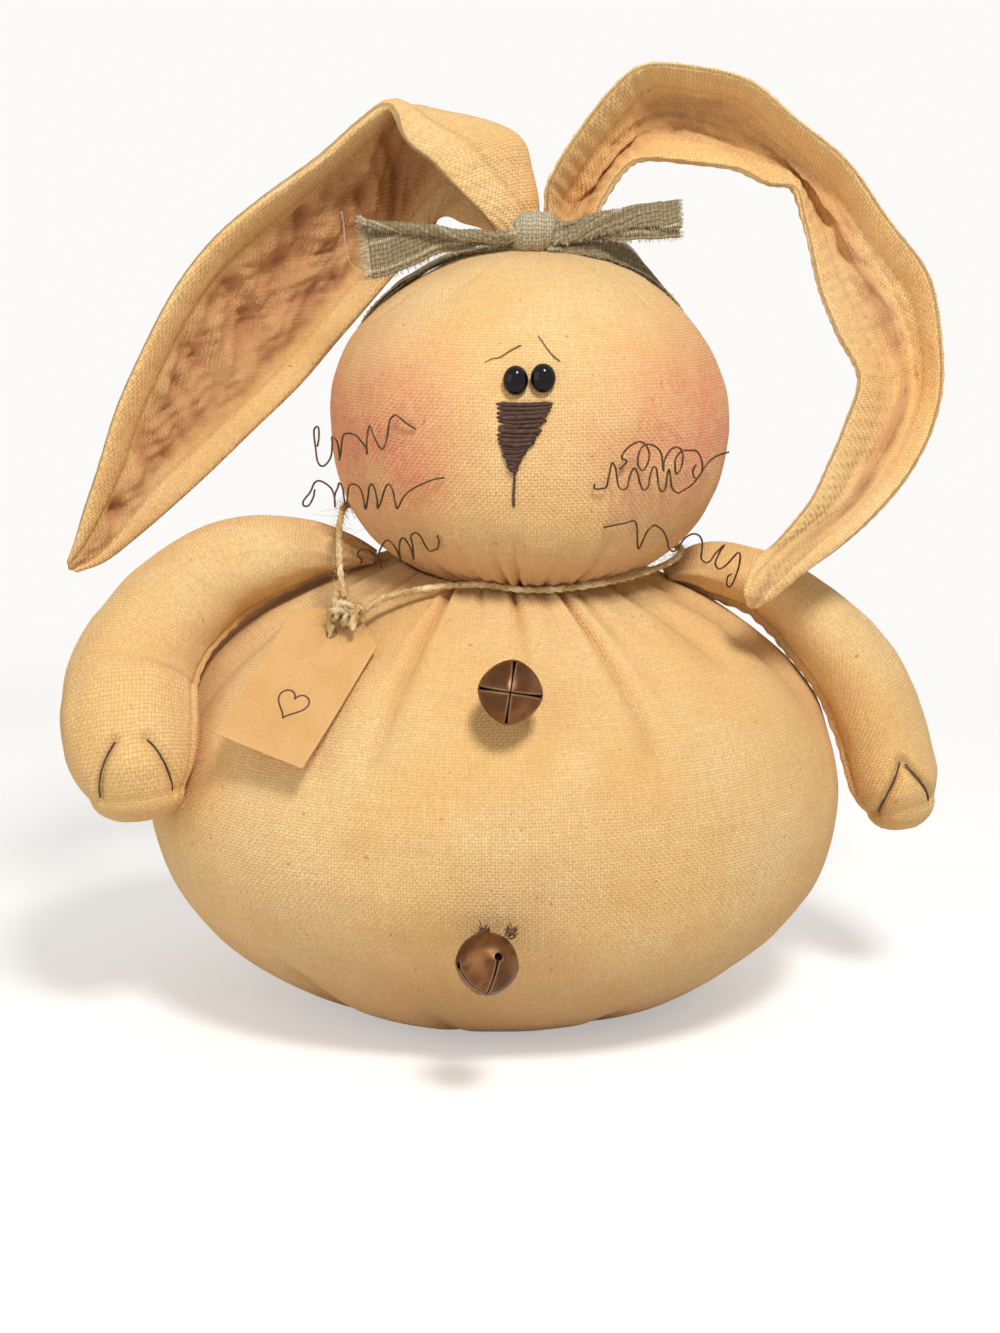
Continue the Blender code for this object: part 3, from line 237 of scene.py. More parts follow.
def smooth_rows(rows, count):
    """Smooth curve through rows of numbers, read at even steps from row to row: a cubic between two
    rows, whose slope at each row is half the way between that row's neighbours."""
    rows = np.asarray(rows, float)
    padded = np.concatenate([2 * rows[:1] - rows[1:2], rows, 2 * rows[-1:] - rows[-2:-1]])
    place = np.linspace(0, len(rows) - 1, count)
    cell = np.minimum(place.astype(int), len(rows) - 2)
    t = (place - cell).reshape(-1, *[1] * (rows.ndim - 1))
    a, b, c, d = (padded[cell + shift] for shift in range(4))
    bend = 2 * a - 5 * b + 4 * c - d
    twist = 3 * b - a - 3 * c + d
    return 0.5 * (2 * b + (c - a) * t + bend * t ** 2 + twist * t ** 3)


def run_of(paths):
    """Length from the start to each point of (..., points, 3) paths."""
    steps = np.linalg.norm(np.diff(paths, axis=-2), axis=-1)
    return np.concatenate([np.zeros((*steps.shape[:-1], 1)), np.cumsum(steps, axis=-1)], axis=-1)


def even_route(route, count):
    """Points at even spacing along the smooth curve through a route."""
    fine = smooth_rows(route, 40 * len(route))
    along = run_of(fine)
    wanted = np.linspace(0, along[-1], count)
    return np.stack([np.interp(wanted, along, fine[:, axis]) for axis in range(3)], axis=1)


def unit(vectors):
    """Vectors made one long."""
    return vectors / np.maximum(np.linalg.norm(vectors, axis=-1, keepdims=True), 1e-12)


def strand_frame(paths, reference):
    """Side and lift directions on (..., points, 3) paths: along x reference, then along x side."""
    along = unit(np.gradient(paths, axis=-2))
    side = unit(np.cross(along, np.asarray(reference, float)))
    return side, np.cross(along, side)


def cells(grids):
    """Four corners of each cell of (grids, rows, columns, ...) grids: along a row, back along the next."""
    return np.stack([grids[:, :-1, :-1], grids[:, :-1, 1:], grids[:, 1:, 1:], grids[:, 1:, :-1]], axis=3)


def add_piece(name, points, faces, material, uv=None, tint=None, replaced=()):
    """A smooth mesh that rides with the doll, with cloth coordinates per corner and tints per point."""
    mesh = bpy.data.meshes.new(name)
    mesh.from_pydata(points.reshape(-1, 3), [], faces)
    mesh.materials.append(material)
    mesh.shade_smooth()
    if uv is not None:
        mesh.uv_layers.new(name="cloth").data.foreach_set("uv", uv.astype(np.float32).ravel())
    if tint is not None:
        values = np.ones((len(mesh.vertices), 4), np.float32)
        values[:, :3] = tint.reshape(-1, 3)
        mesh.attributes.new("tint", "FLOAT_COLOR", "POINT").data.foreach_set("color", values.ravel())
    piece = add_object(name, mesh)
    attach(piece, "root")
    if replaced:
        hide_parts(*replaced)
    return piece


def tubes(name, paths, radius, sides, reference, material, slot, replaced=()):
    """Strands on (strands, points, 3) paths. Each section is a ring of sides, and radius may be a
    number or an array of (strands, points, sides). Cloth coordinates are the length in mm and the
    share of a turn."""
    paths = np.asarray(paths, float)
    strands, count, _ = paths.shape
    side, lift = strand_frame(paths, reference)
    turn = np.arange(sides) * 2 * np.pi / sides
    reach = np.broadcast_to(radius, (strands, count, sides))[..., None]
    points = paths[:, :, None] + reach * (side[:, :, None] * np.cos(turn)[:, None]
                                          + lift[:, :, None] * np.sin(turn)[:, None])
    number = np.arange(strands * count * sides).reshape(strands, count, sides)
    walls = cells(np.concatenate([number, number[..., :1]], axis=-1)).reshape(-1, 4)
    faces = walls.tolist() + number[:, 0, ::-1].tolist() + number[:, -1].tolist()
    length = run_of(paths) / MM + STRAND_SHIFT * np.arange(strands)[:, None]
    around = np.arange(sides + 1) / sides
    walls_uv = cells(np.stack(np.broadcast_arrays(length[..., None], around), axis=-1)).reshape(-1, 2)
    caps_uv = np.zeros((2 * strands * sides, 2))
    return add_piece(name, points, faces, material, np.concatenate([walls_uv, caps_uv]),
                     replaced=replaced)


def hairs(seed, roots, outward, length, curl, points=6):
    """Short curved hairs: each starts at a root, leaves along its outward direction and wanders."""
    random = np.random.default_rng(seed)
    reach = np.linspace(0, 1, points)[None, :, None]
    size = length * random.uniform(0.3, 1.0, (len(roots), 1, 1))
    way = unit(outward + random.normal(0, 0.5, roots.shape))[:, None]
    bend = random.normal(0, curl, roots.shape)[:, None]
    return roots[:, None] + size * (way * reach + bend * reach ** 2)


def jute_finish():
    """Straw-coloured plies: fine fibres along the twist, darker in the groove between plies."""
    jute = Finish("jute_twine")
    fibres = jute.noise(jute.cloth(), 1.0, 4, (0.9, 9, 1))
    patches = jute.noise(jute.place(), 160, 3)
    tone = jute.coats(JUTE_DARK, (JUTE, fibres, 0.35, 0.68), (JUTE_PALE, patches, 0.45, 0.7))
    jute.shade(Base_Color=tone, Roughness=0.88, Normal=jute.bump(fibres, 0.25 * MM))
    return jute.material


def plied(name, paths, radius, sides, twist, reference, *looks):
    """Two-ply strands: the radius is fullest over each ply and nipped in between, turning along it."""
    turn = np.arange(sides) * 2 * np.pi / sides
    ply = np.abs(np.cos(turn - run_of(paths)[..., None] * twist))
    return tubes(name, paths, radius * (0.66 + 0.44 * ply ** 0.9), sides, reference, *looks)


twine_path = even_route(TWINE_ROUTE, TWINE_STATIONS)
jute = jute_finish()
twine = plied("neck_twine_jute", twine_path[None], TWINE_RADIUS, TWINE_SIDES, TWINE_TWIST, (0, 0, 1),
              jute, "jute", ["neck_twine"])


def twine_hairs(name, path, radius, count, length, seed):
    """Loose jute hairs that leave a strand sideways, some of them long."""
    random = np.random.default_rng(seed)
    station = random.integers(1, len(path) - 2, count)
    side, lift = strand_frame(path, (0.1, 0.2, 1))
    turn = random.uniform(0, 2 * np.pi, (count, 1))
    out = side[station] * np.cos(turn) + lift[station] * np.sin(turn)
    along = unit(np.gradient(path, axis=0))[station]
    roots = path[station] + out * radius * 0.8
    way = out * 0.7 + along * random.choice([-1, 1], (count, 1))
    paths = hairs(seed + 1, roots, way, length, 0.5)
    return tubes(name, paths, JUTE_HAIR_RADIUS, 3, (0.3, 0.5, 0.8), jute, "jute")


twine_fuzz = twine_hairs("neck_twine_hairs", twine_path, TWINE_RADIUS, count=900, length=5.5 * MM, seed=3)


# Tag: a kraft card with two cut corners and a punched hole, 32 x 51 mm, that leans against the
# belly on a short jute loop. A small plain heart is drawn on it with a fine brown pen.
TAG_MIDDLE = np.array([-62.49, -64.24, 122.34]) * MM
TAG_ACROSS = np.array([0.8598, -0.4594, -0.2231])
TAG_UP = np.array([0.4618, 0.5128, 0.7237])
TAG_OUT = np.array([-0.2180, -0.7253, 0.6530])
TAG_HALF_WIDTH = 16 * MM
TAG_HALF_LENGTH = 25.5 * MM
TAG_THICKNESS = 0.7 * MM
TAG_CORNER = 8.5 * MM
TAG_CORNER_DROP = 6 * MM
TAG_HOLE_RISE = 18.5 * MM
TAG_HOLE_RADIUS = 1.9 * MM
TAG_CURL = 1.1 * MM
TAG_TURNS = 180
TAG_RINGS = 22
KRAFT = (0.69, 0.372, 0.125, 1)
KRAFT_PALE = (0.76, 0.46, 0.20, 1)
KRAFT_DARK = (0.36, 0.20, 0.09, 1)
INK = (0.06, 0.025, 0.012, 1)
INK_PALE = (0.10, 0.05, 0.025, 1)
HEART_STATIONS = 90
HEART_HALF = 5.2 * MM
HEART_PLACE = (1.0 * MM, -7.5 * MM)
HEART_LINE = 0.26 * MM


def tag_point(across, up, out):
    """A point of the card: its sides and lower end curl a little towards the viewer."""
    curl = TAG_CURL * ((across / TAG_HALF_WIDTH) ** 2 * 0.35 + np.clip(-up / TAG_HALF_LENGTH, 0, 1) ** 2)
    return (TAG_MIDDLE + across[..., None] * TAG_ACROSS + up[..., None] * TAG_UP
            + (out + curl)[..., None] * TAG_OUT)


def tag_outline(turn):
    """Distance from the hole to the card's edge: the nearest of its six straight edges."""
    normals = unit(np.array([[1, 0], [-1, 0], [0, 1], [0, -1], [TAG_CORNER_DROP, TAG_CORNER],
                             [-TAG_CORNER_DROP, TAG_CORNER]]))
    corner = np.array([TAG_HALF_WIDTH - TAG_CORNER, TAG_HALF_LENGTH])
    reach = np.array([TAG_HALF_WIDTH, TAG_HALF_WIDTH, TAG_HALF_LENGTH, TAG_HALF_LENGTH,
                      corner @ normals[4], corner @ normals[4]])
    reach = reach - normals @ np.array([0, TAG_HOLE_RISE])
    toward = normals @ np.stack([np.cos(turn), np.sin(turn)])
    return np.where(toward > 1e-6, reach[:, None] / np.maximum(toward, 1e-6), 1).min(axis=0)


def tag_turns():
    """Turns round the hole, close together, with one exactly at each corner of the card."""
    w, top, side = TAG_HALF_WIDTH, TAG_HALF_LENGTH, TAG_HALF_LENGTH - TAG_CORNER_DROP
    corners = np.array([(w, side), (w - TAG_CORNER, top), (-w + TAG_CORNER, top), (-w, side), (-w, -top),
                        (w, -top)])
    exact = np.arctan2(corners[:, 1] - TAG_HOLE_RISE, corners[:, 0])
    return np.unique(np.concatenate([np.linspace(-np.pi, np.pi, TAG_TURNS, endpoint=False), exact]))


def kraft_finish():
    """Recycled brown card: dark and pale fibres, faint clouds, paler worn edges."""
    kraft = Finish("kraft_card")
    where = kraft.place()
    fibres = kraft.noise(where, 2600, 3, (1, 1, 0.25))
    clouds = kraft.noise(where, 90, 3)
    specks = kraft.noise(where, 1500, 2)
    tone = kraft.coats(KRAFT, (KRAFT_PALE, clouds, 0.3, 0.7, 0.0, 0.5),
                       (KRAFT_PALE, fibres, 0.5, 0.75, 0, 0.45), (KRAFT_DARK, specks, 0.58, 0.74, 0, 0.5))
    tone = kraft.mix(kraft.calc("MULTIPLY", kraft.tint()[0], 0.4), tone, KRAFT_PALE)
    kraft.shade(Base_Color=tone, Roughness=0.85, Normal=kraft.bump(fibres, 0.05 * MM))
    return kraft.material


def hang_tag():
    """Rings from the hole to the edge on the front, round the edge, and back to the hole behind."""
    turn = tag_turns()
    edge = tag_outline(turn)
    face = np.linspace(0, 0.985, TAG_RINGS)
    share = np.concatenate([face, [1.0, 1.0], np.linspace(0.985, 0, TAG_RINGS)])
    level = np.concatenate([np.ones(TAG_RINGS), [0.8, 0.2], np.zeros(TAG_RINGS)]) * TAG_THICKNESS
    radius = TAG_HOLE_RADIUS + (edge[:, None] - TAG_HOLE_RADIUS) * share
    across = radius * np.cos(turn)[:, None]
    up = radius * np.sin(turn)[:, None] + TAG_HOLE_RISE
    points = tag_point(across, up, np.broadcast_to(level, across.shape))
    count, ring = radius.shape
    number = np.arange(count * ring).reshape(count, ring)
    after = np.roll(number, -1, axis=0)
    faces = np.stack([number, after, np.roll(after, -1, 1), np.roll(number, -1, 1)], axis=-1)
    faces = faces.reshape(-1, 4)[:, ::-1].tolist()
    tint = np.zeros((count, ring, 3))
    tint[..., 0] = np.clip((share - 0.93) / 0.07, 0, 1)
    card = add_piece("hang_tag_card", points, faces, kraft_finish(), tint=tint,
                     replaced=["hang_tag"])
    card.data.set_sharp_from_angle(angle=np.radians(40))
    return card


def tag_heart():
    """The usual heart curve, x = sin^3 and y = four cosines, drawn as one thin ink line."""
    turn = np.linspace(0.04, 2 * np.pi - 0.02, HEART_STATIONS)
    across = HEART_HALF * np.sin(turn) ** 3 + HEART_PLACE[0]
    rise = (13 * np.cos(turn) - 5 * np.cos(2 * turn) - 2 * np.cos(3 * turn) - np.cos(4 * turn)) / 16
    up = HEART_HALF * rise + HEART_PLACE[1]
    path = tag_point(across, up, np.full(len(turn), TAG_THICKNESS))
    ink = Finish("brown_ink")
    ink.shade(Base_Color=ink.mix(ink.noise(ink.place(), 900), INK, INK_PALE), Roughness=0.6)
    return tubes("hang_tag_heart", path[None], HEART_LINE, 8, TAG_OUT, ink.material, "kraft")


# Tag loop and knot: the same jute. The loop goes from the knot down through the hole, up behind
# the card and over its edge; the knot is five turns of the twine pulled over each other.
LOOP_ROUTES = [  # up, out and side of each point, in mm from the tag's hole
    [(1.9, 3.0, 0.6), (0.5, 2.4, 0.3), (-0.8, 0.35, 0), (0.5, -1.1, 0), (4.9, -1.1, 0.6), (8.3, -0.4, 1.5),
     (9.6, 2.4, 2.2)],
    [(3.5, 3.6, -1.3), (1.6, 2.9, -1.0), (0.3, 0.6, -0.4), (0.9, -1.1, -0.6), (4.7, -1.1, -1.6),
     (8.2, -0.3, -0.8), (9.4, 2.6, 0.4)]]
LOOP_RADIUS = 0.8 * MM
LOOP_STATIONS = 60
LOOP_SIDES = 12
KNOT_RADIUS = 1.05 * MM
KNOT_STATIONS = 48
KNOT_RISE = 6.2
KNOT_SIDE = 3.0
KNOT_OUT = 4.4
KNOT_TURNS = [  # side, up and out of each turn's middle, its half sizes the same ways, and its lag
    (-2.9, 0.2, 0.0, 1.3, 3.0, 2.3, 0.6), (-0.4, 0.0, 0.2, 2.2, 3.1, 2.4, 0.9),
    (2.6, 0.1, 0.0, 1.6, 2.8, 2.2, 0.3), (0.2, 1.4, 0.6, 4.7, 0.9, 2.9, -1.5),
    (0.0, -1.1, 0.5, 4.1, 1.2, 2.8, -1.8)]
KNOT_ENDS = [  # side, up and out of each point
    [(-3.0, -0.5, 2.0), (-4.2, 1.8, 2.6), (-4.9, 3.6, 1.6), (-5.6, 5.2, 1.4)],
    [(3.2, 1.0, 2.0), (4.6, -1.6, 2.4), (4.9, -3.4, 1.0), (5.8, -4.6, 0.6)]]


def from_hole(side, up, out):
    """Points so many mm to the side of, above and in front of the tag's hole."""
    side, up, out = (np.asarray(value, float)[..., None] * MM for value in (side, up, out))
    return TAG_MIDDLE + TAG_UP * TAG_HOLE_RISE + side * TAG_ACROSS + up * TAG_UP + out * TAG_OUT


def tag_loop():
    """Two strands side by side through the hole."""
    paths = []
    for route in LOOP_ROUTES:
        up, out, side = np.array(route).T
        paths.append(even_route(from_hole(side, up, out), LOOP_STATIONS))
    return plied("tag_loop_jute", np.array(paths), LOOP_RADIUS, LOOP_SIDES, TWINE_TWIST, TAG_ACROSS,
                 jute, "jute", ["tag_loop"])


def twine_knot():
    """Slanted turns round the knot's core, and the two short ends that leave it; with their paths."""
    turn = np.linspace(0, 2 * np.pi, KNOT_STATIONS)
    paths = []
    for side, up, out, half_side, half_up, half_out, lag in KNOT_TURNS:
        across = side + KNOT_SIDE + half_side * np.cos(turn + lag)
        rise = up + KNOT_RISE + half_up * np.sin(turn)
        paths.append(from_hole(across, rise, out + KNOT_OUT + half_out * np.cos(turn)))
    for end in KNOT_ENDS:
        side, up, out = np.array(end).T
        points = from_hole(side + KNOT_SIDE, up + KNOT_RISE, out + KNOT_OUT)
        paths.append(even_route(points, KNOT_STATIONS))
    paths = np.array(paths)
    knot = plied("twine_knot_jute", paths, KNOT_RADIUS, LOOP_SIDES, TWINE_TWIST, TAG_ACROSS, jute,
                 "jute", ["twine_knot"])
    return knot, paths


card = hang_tag()
heart = tag_heart()
loop = tag_loop()
knot, knot_paths = twine_knot()
knot_turns = knot_paths[:len(KNOT_TURNS)].reshape(-1, 3)
knot_fuzz = twine_hairs("twine_knot_hairs", knot_turns, TWINE_RADIUS, count=380, length=6.0 * MM, seed=11)


# Body: a ball of tea-dyed muslin, gathered at the neck and stuffed, with a bag of pellets in its
# base, so it sits flat. The cloth is one plain weave; painted shade darkens it towards the table.
BODY_CENTRE = np.array([-5, 0, 74]) * MM
BODY_HALF = np.array([115, 95, 80]) * MM
HEAD_CENTRE = np.array([7, -10, 197]) * MM
HEAD_HALF = np.array([64, 60, 54]) * MM
NECK_GAP = 0.85 * MM
SEW_GAP = 0.4 * MM
# Folds that run down from the neck: bearing at the neck and at the far end (-90 is the front),
# height where it ends as a share of the half height, depth in mm, half width in degrees
BODY_FOLDS = [
    (-105, -110, 0.22, 3.0, 2.0), (-82, -82, 0.62, 2.2, 2.0), (-66, -62, 0.26, 3.4, 1.9),
    (-57, -58, 0.7, 1.6, 1.8), (-152, -154, 0.3, 2.6, 5), (-128, -133, 0.66, 1.3, 2.6),
    (-94, -93, 0.80, 1.0, 1.8), (-71, -72, 0.78, 1.0, 1.8), (-40, -36, 0.55, 2.2, 4),
    (-17, -14, 0.25, 3.0, 7), (22, 25, 0.25, 3.4, 6), (56, 52, 0.3, 4.0, 6),
    (90, 93, 0.2, 3.4, 6), (124, 120, 0.25, 4.2, 6), (163, 166, 0.2, 3.4, 7)]
BODY_FOLD_FADE = 0.45
# Short folds where the cloth turns under the base: bearing, height, depth in mm, half width, half height
BODY_BASE_FOLDS = [
    (-131, -0.68, 2.0, 2.4, 0.16), (-136, -0.78, 1.6, 3.0, 0.12), (-105, -0.80, 1.4, 2.6, 0.10),
    (-60, -0.82, 1.2, 4.0, 0.10), (-28, -0.74, 1.6, 4.0, 0.14), (35, -0.7, 2.2, 4, 0.18),
    (80, -0.75, 2.0, 5, 0.16), (128, -0.7, 2.4, 4, 0.18), (170, -0.74, 2.0, 5, 0.16)]
# Rings of the body: angle where each stretch ends and its count; points in a ring; the widest ring
BODY_STRETCHES = ((-1.1, 28), (1.0, 112), (np.pi / 2, 54))
BODY_AROUND = 500
BODY_WIDEST = 80
THREAD_PITCH = 0.98
MUSLIN = (0.95, 0.62, 0.25, 1)
MUSLIN_PALE = (1.0, 0.76, 0.39, 1)
# Tea stain and thread tones; also the painted shade between the threads
MUSLIN_TEA_AND_SHADE = (0.74, 0.40, 0.145, 1)
# Dark specks; also the painted shade of tint 1
MUSLIN_DEEP = (0.40, 0.20, 0.08, 1)
# Stains, the ears' lining and the chin; also the painted shade of tint 3
MUSLIN_STAIN_AND_SHADE = (0.52, 0.235, 0.11, 1)
BLUSH = (0.82, 0.24, 0.15, 1)


class Ball:
    """A stuffed ball, where across ** power + up ** power = 1 in shares of its half sizes."""

    STEP = 0.05 * MM  # over which slopes are measured

    def __init__(self, centre, half, lower, upper, lean=0.0):
        self.centre = centre
        self.half = half
        self.lower = lower
        self.upper = upper
        self.lean = lean

    def size_at(self, points):
        """1 on the surface, less inside and more outside."""
        share = (points - self.centre) / self.half
        share[..., 0] -= self.lean * np.clip(-share[..., 2], 0, 1) ** 2 / self.half[0]
        power = np.where(share[..., 2] < 0, self.lower, self.upper)
        across = np.hypot(share[..., 0], share[..., 1])
        return (across ** power + np.abs(share[..., 2]) ** power) ** (1 / power)

    def normal(self, points):
        """Outward direction, from the slope of size_at."""
        steps = np.eye(3) * self.STEP
        slope = [self.size_at(points + step) - self.size_at(points - step) for step in steps]
        return unit(np.stack(slope, axis=-1))

    def push_out(self, points, clearance):
        """Points nearer than the clearance go out along the normal."""
        for _ in range(4):
            normal = self.normal(points)
            slope = (self.size_at(points + normal * self.STEP) - self.size_at(points)) / self.STEP
            depth = clearance - (self.size_at(points) - 1) / slope
            points = points + normal * np.clip(depth, 0, None)[..., None]
        return points

    def front(self, x, z):
        """Point of the front at an offset x, z from the centre."""
        power = np.where(z < 0, self.lower, self.upper)
        ring = np.clip(1 - np.abs(z / self.half[2]) ** power, 0, 1) ** (1 / power)
        depth = np.sqrt(np.clip(ring ** 2 - (x / self.half[0]) ** 2, 0, None))
        return self.centre + np.stack([x, -self.half[1] * depth, z + 0 * x], axis=-1)

    def toward(self, direction):
        """Surface point in a direction given in shares of the half sizes."""
        points = self.centre + self.half * unit(np.asarray(direction, float))
        for _ in range(6):
            points = self.centre + (points - self.centre) / self.size_at(points)[..., None]
        return points

    def rings(self, angle, bearing):
        """Rings of points for angles up from the middle and bearings round it."""
        angle, bearing = np.meshgrid(angle, bearing, indexing="ij")
        power = np.where(angle < 0, self.lower, self.upper)
        across = np.cos(angle) ** (2 / power)
        up = np.sign(angle) * np.abs(np.sin(angle)) ** (2 / power)
        share = np.stack([across * np.cos(bearing), across * np.sin(bearing), up], axis=-1)
        rings = self.centre + share * self.half
        rings[..., 0] += self.lean * np.clip(-up, 0, 1) ** 2
        return rings, up


BODY = Ball(BODY_CENTRE, BODY_HALF, 2.1, 2.0, 5 * MM)
HEAD = Ball(HEAD_CENTRE, HEAD_HALF, 2.3, 2.0)


def turn_from(bearing, degrees):
    """Degrees from one bearing to another, the short way round."""
    return np.degrees(np.angle(np.exp(1j * (bearing - np.radians(degrees)))))


def swirl(seed, *axes, waves=5, count=14):
    """Soft bumps of size about 1: a sum of sines of the axes with seeded waves and phases."""
    random = np.random.default_rng(seed)
    total = 0
    for _ in range(count):
        way = random.normal(0, waves, len(axes))
        travel = sum(rate * axis for rate, axis in zip(way, axes))
        total = total + np.sin(travel + random.uniform(0, 2 * np.pi))
    return total / np.sqrt(count / 2)


def weave_group():
    """Plain weave: two sets of rounded threads that take turns on top, each thread its own weight.
    Gives the height of the threads and a tone that differs from thread to thread."""
    group = bpy.data.node_groups.new("plain_weave", "ShaderNodeTree")
    group.interface.new_socket("Cloth", in_out="INPUT", socket_type="NodeSocketVector")
    group.interface.new_socket("Height", in_out="OUTPUT", socket_type="NodeSocketFloat")
    group.interface.new_socket("Tone", in_out="OUTPUT", socket_type="NodeSocketFloat")
    weave = Finish("plain_weave", group)
    cloth = group.nodes.new("NodeGroupInput")
    result = group.nodes.new("NodeGroupOutput")
    drift = weave.noise(cloth.outputs[0], 0.12, 2)
    split = weave.node("SeparateXYZ", {0: cloth.outputs[0]}).outputs
    warp = weave.calc("MULTIPLY_ADD", drift, 1.6, split[0])
    weft = weave.calc("MULTIPLY_ADD", drift, -1.6, split[1])
    turn = np.pi / THREAD_PITCH
    across = weave.calc("ABSOLUTE", weave.calc("SINE", weave.calc("MULTIPLY", warp, turn)))
    along = weave.calc("ABSOLUTE", weave.calc("SINE", weave.calc("MULTIPLY", weft, turn)))
    cell = weave.node("CombineXYZ", {0: warp, 1: weft}).outputs[0]
    over = weave.node("TexChecker", {"Vector": cell, "Scale": 1 / THREAD_PITCH, "Color1": (1, 1, 1, 1),
                                     "Color2": (0, 0, 0, 1)}).outputs[1]
    slub_warp = weave.noise(cell, 1.0, 2, (1.5, 0.03, 1))
    slub_weft = weave.noise(cell, 1.0, 2, (0.03, 1.5, 1))
    height = weave.node("Mix", {0: over, 2: along, 3: across}).outputs[0]
    tone = weave.node("Mix", {0: over, 2: slub_weft, 3: slub_warp}).outputs[0]
    group.links.new(height, result.inputs[0])
    group.links.new(tone, result.inputs[1])
    return group


WEAVE = weave_group()


def muslin_finish(name, darkening, blush=0.0, wrinkled=0.3):
    """Tea-dyed muslin: weave and uneven threads with painted shade between them, clouds of tea stain,
    painted shade in folds, seams, dents and towards the table, and the ears' dark stitches (tint 1), blush
    (tint 2), a deeper brown for stains, the ears' lining and the chin, and for more painted shade (tint 3),
    small dark specks, and fine wrinkles of a height in mm."""
    muslin = Finish(name)
    where = muslin.place()
    height, thread = muslin.node("Group", {0: muslin.cloth()}, node_tree=WEAVE).outputs
    tint = muslin.tint()
    clouds = muslin.noise(where, 22, 4)
    tea = muslin.noise(where, 55, 5)
    grain = muslin.noise(where, 820, 4)
    specks = muslin.noise(where, 430, 2)
    # The coat taken from the weave's height is painted shade between the threads; the other coats are
    # stain, thread tone, grain and specks.
    tone = muslin.coats(
        MUSLIN, (MUSLIN_PALE, clouds, 0.3, 0.72), (MUSLIN_TEA_AND_SHADE, tea, 0.52, 0.8, 0, 0.35 + darkening),
        (MUSLIN_TEA_AND_SHADE, thread, 0.32, 0.66, 0.34, 0.0), (MUSLIN_TEA_AND_SHADE, height, 0.0, 0.85, 0.85, 0.0),
        (MUSLIN_TEA_AND_SHADE, grain, 0.38, 0.60, 0.34, 0.0), (MUSLIN_DEEP, specks, 0.70, 0.76, 0, 0.6))
    # Tint 1: painted shade in folds, seams, dents and towards the table, and the ears' dark stitches.
    tone = muslin.mix(tint[0], tone, MUSLIN_DEEP)
    if blush:
        patch = muslin.ease(muslin.noise(where, 500, 3), 0.35, 0.65, 0.55, 1.0)
        blush_rub_and_knot_sheen = muslin.calc("MULTIPLY", muslin.calc("MULTIPLY", tint[1], patch), blush)
        tone = muslin.mix(blush_rub_and_knot_sheen, tone, BLUSH)
    # Tint 3: a deeper brown for stains, the ears' lining and the chin, and painted shade towards the table,
    # on the arms and in the ears' creases.
    tone = muslin.mix(tint[2], tone, MUSLIN_STAIN_AND_SHADE)
    wrinkles = muslin.bump(muslin.noise(where, 170, 5), wrinkled * MM)
    pile = muslin.noise(where, 1500, 2)
    normal = muslin.bump(height, 0.16 * MM, muslin.bump(pile, 0.06 * MM, wrinkles))
    muslin.shade(Base_Color=tone, Roughness=0.95, Normal=normal, Sheen_Weight=0.10, Sheen_Roughness=0.5,
                 Sheen_Tint=(1.0, 0.92, 0.8, 1), Specular_IOR_Level=0.2)
    return muslin.material


def ball_uv(rings, middle):
    """Cloth coordinates in mm for a ball: along its rings, which keep the length of the middle ring,
    and up its front."""
    along = run_of(np.concatenate([rings[middle], rings[middle, :1]])) / MM
    up = run_of(rings[:, rings.shape[1] * 3 // 4]) / MM
    return np.stack(np.broadcast_arrays(along, up[:, None]), axis=-1)


def closed_skin(name, rings, ends, uv, tint, material, replaced=()):
    """A skin round rings of points, closed by a fan at each end; uv has one more column than the rings."""
    count, around, _ = rings.shape
    number = np.arange(count * around).reshape(count, around)
    closed = np.concatenate([number, number[:, :1]], axis=1)
    first, last = count * around, count * around + 1
    faces = [cells(closed[None]).reshape(-1, 4),
             np.stack([closed[0, 1:], closed[0, :-1], np.full(around, first)], axis=-1),
             np.stack([closed[-1, :-1], closed[-1, 1:], np.full(around, last)], axis=-1)]
    corner_uv = [cells(uv[None]).reshape(-1, 4, 2),
                 np.stack([uv[0, 1:], uv[0, :-1], uv[0, :-1]], axis=1),
                 np.stack([uv[-1, :-1], uv[-1, 1:], uv[-1, 1:]], axis=1)]
    points = np.concatenate([rings.reshape(-1, 3), np.asarray(ends)])
    a, b, c, d = points[faces[0]].transpose(1, 0, 2)
    if (a * np.cross(b, c)).sum() + (a * np.cross(c, d)).sum() < 0:  # the walls face inwards
        faces = [part[:, ::-1] for part in faces]
        corner_uv = [part[:, ::-1] for part in corner_uv]
    faces = [face for part in faces for face in part.tolist()]
    corner_uv = np.concatenate([part.reshape(-1, 2) for part in corner_uv])
    tint = np.concatenate([tint.reshape(-1, 3), tint[0].mean(axis=0)[None], tint[-1].mean(axis=0)[None]])
    return add_piece(name, points, faces, material, corner_uv, tint, replaced)


def folds_down(bearing, up, folds, sign, fade=0.8):
    """Depth in mm of folds that start at the gathered end and fade at their far end. Each is a
    narrow valley with a soft swell on both sides."""
    depth = np.zeros_like(bearing)
    for near, far, end, deep, width in folds:
        grow = np.clip((sign * up - end) / (1 - end), 0, 1)
        centre = near + (far - near) * (1 - grow)
        turn = turn_from(bearing, centre)
        spread = width * (0.55 + 0.75 * (1 - grow))
        valley = 0.55 * np.exp(-(turn / spread) ** 2) + 0.55 * np.exp(-np.abs(turn) / (0.35 * spread))
        valley -= 0.35 * np.exp(-((np.abs(turn) - 2.1 * spread) / spread) ** 2)
        depth += deep * valley * grow ** fade * np.clip(grow * 6, 0, 1)
    return depth


def ring_angles(stretches):
    """Angles up from the middle, from pole to pole without the poles: each stretch has its own end and
    count, the count with both its ends."""
    low, parts = -np.pi / 2, []
    for high, count in stretches:
        parts.append(np.linspace(low, high, count)[1:])
        low = high
    return np.concatenate(parts)[:-1]


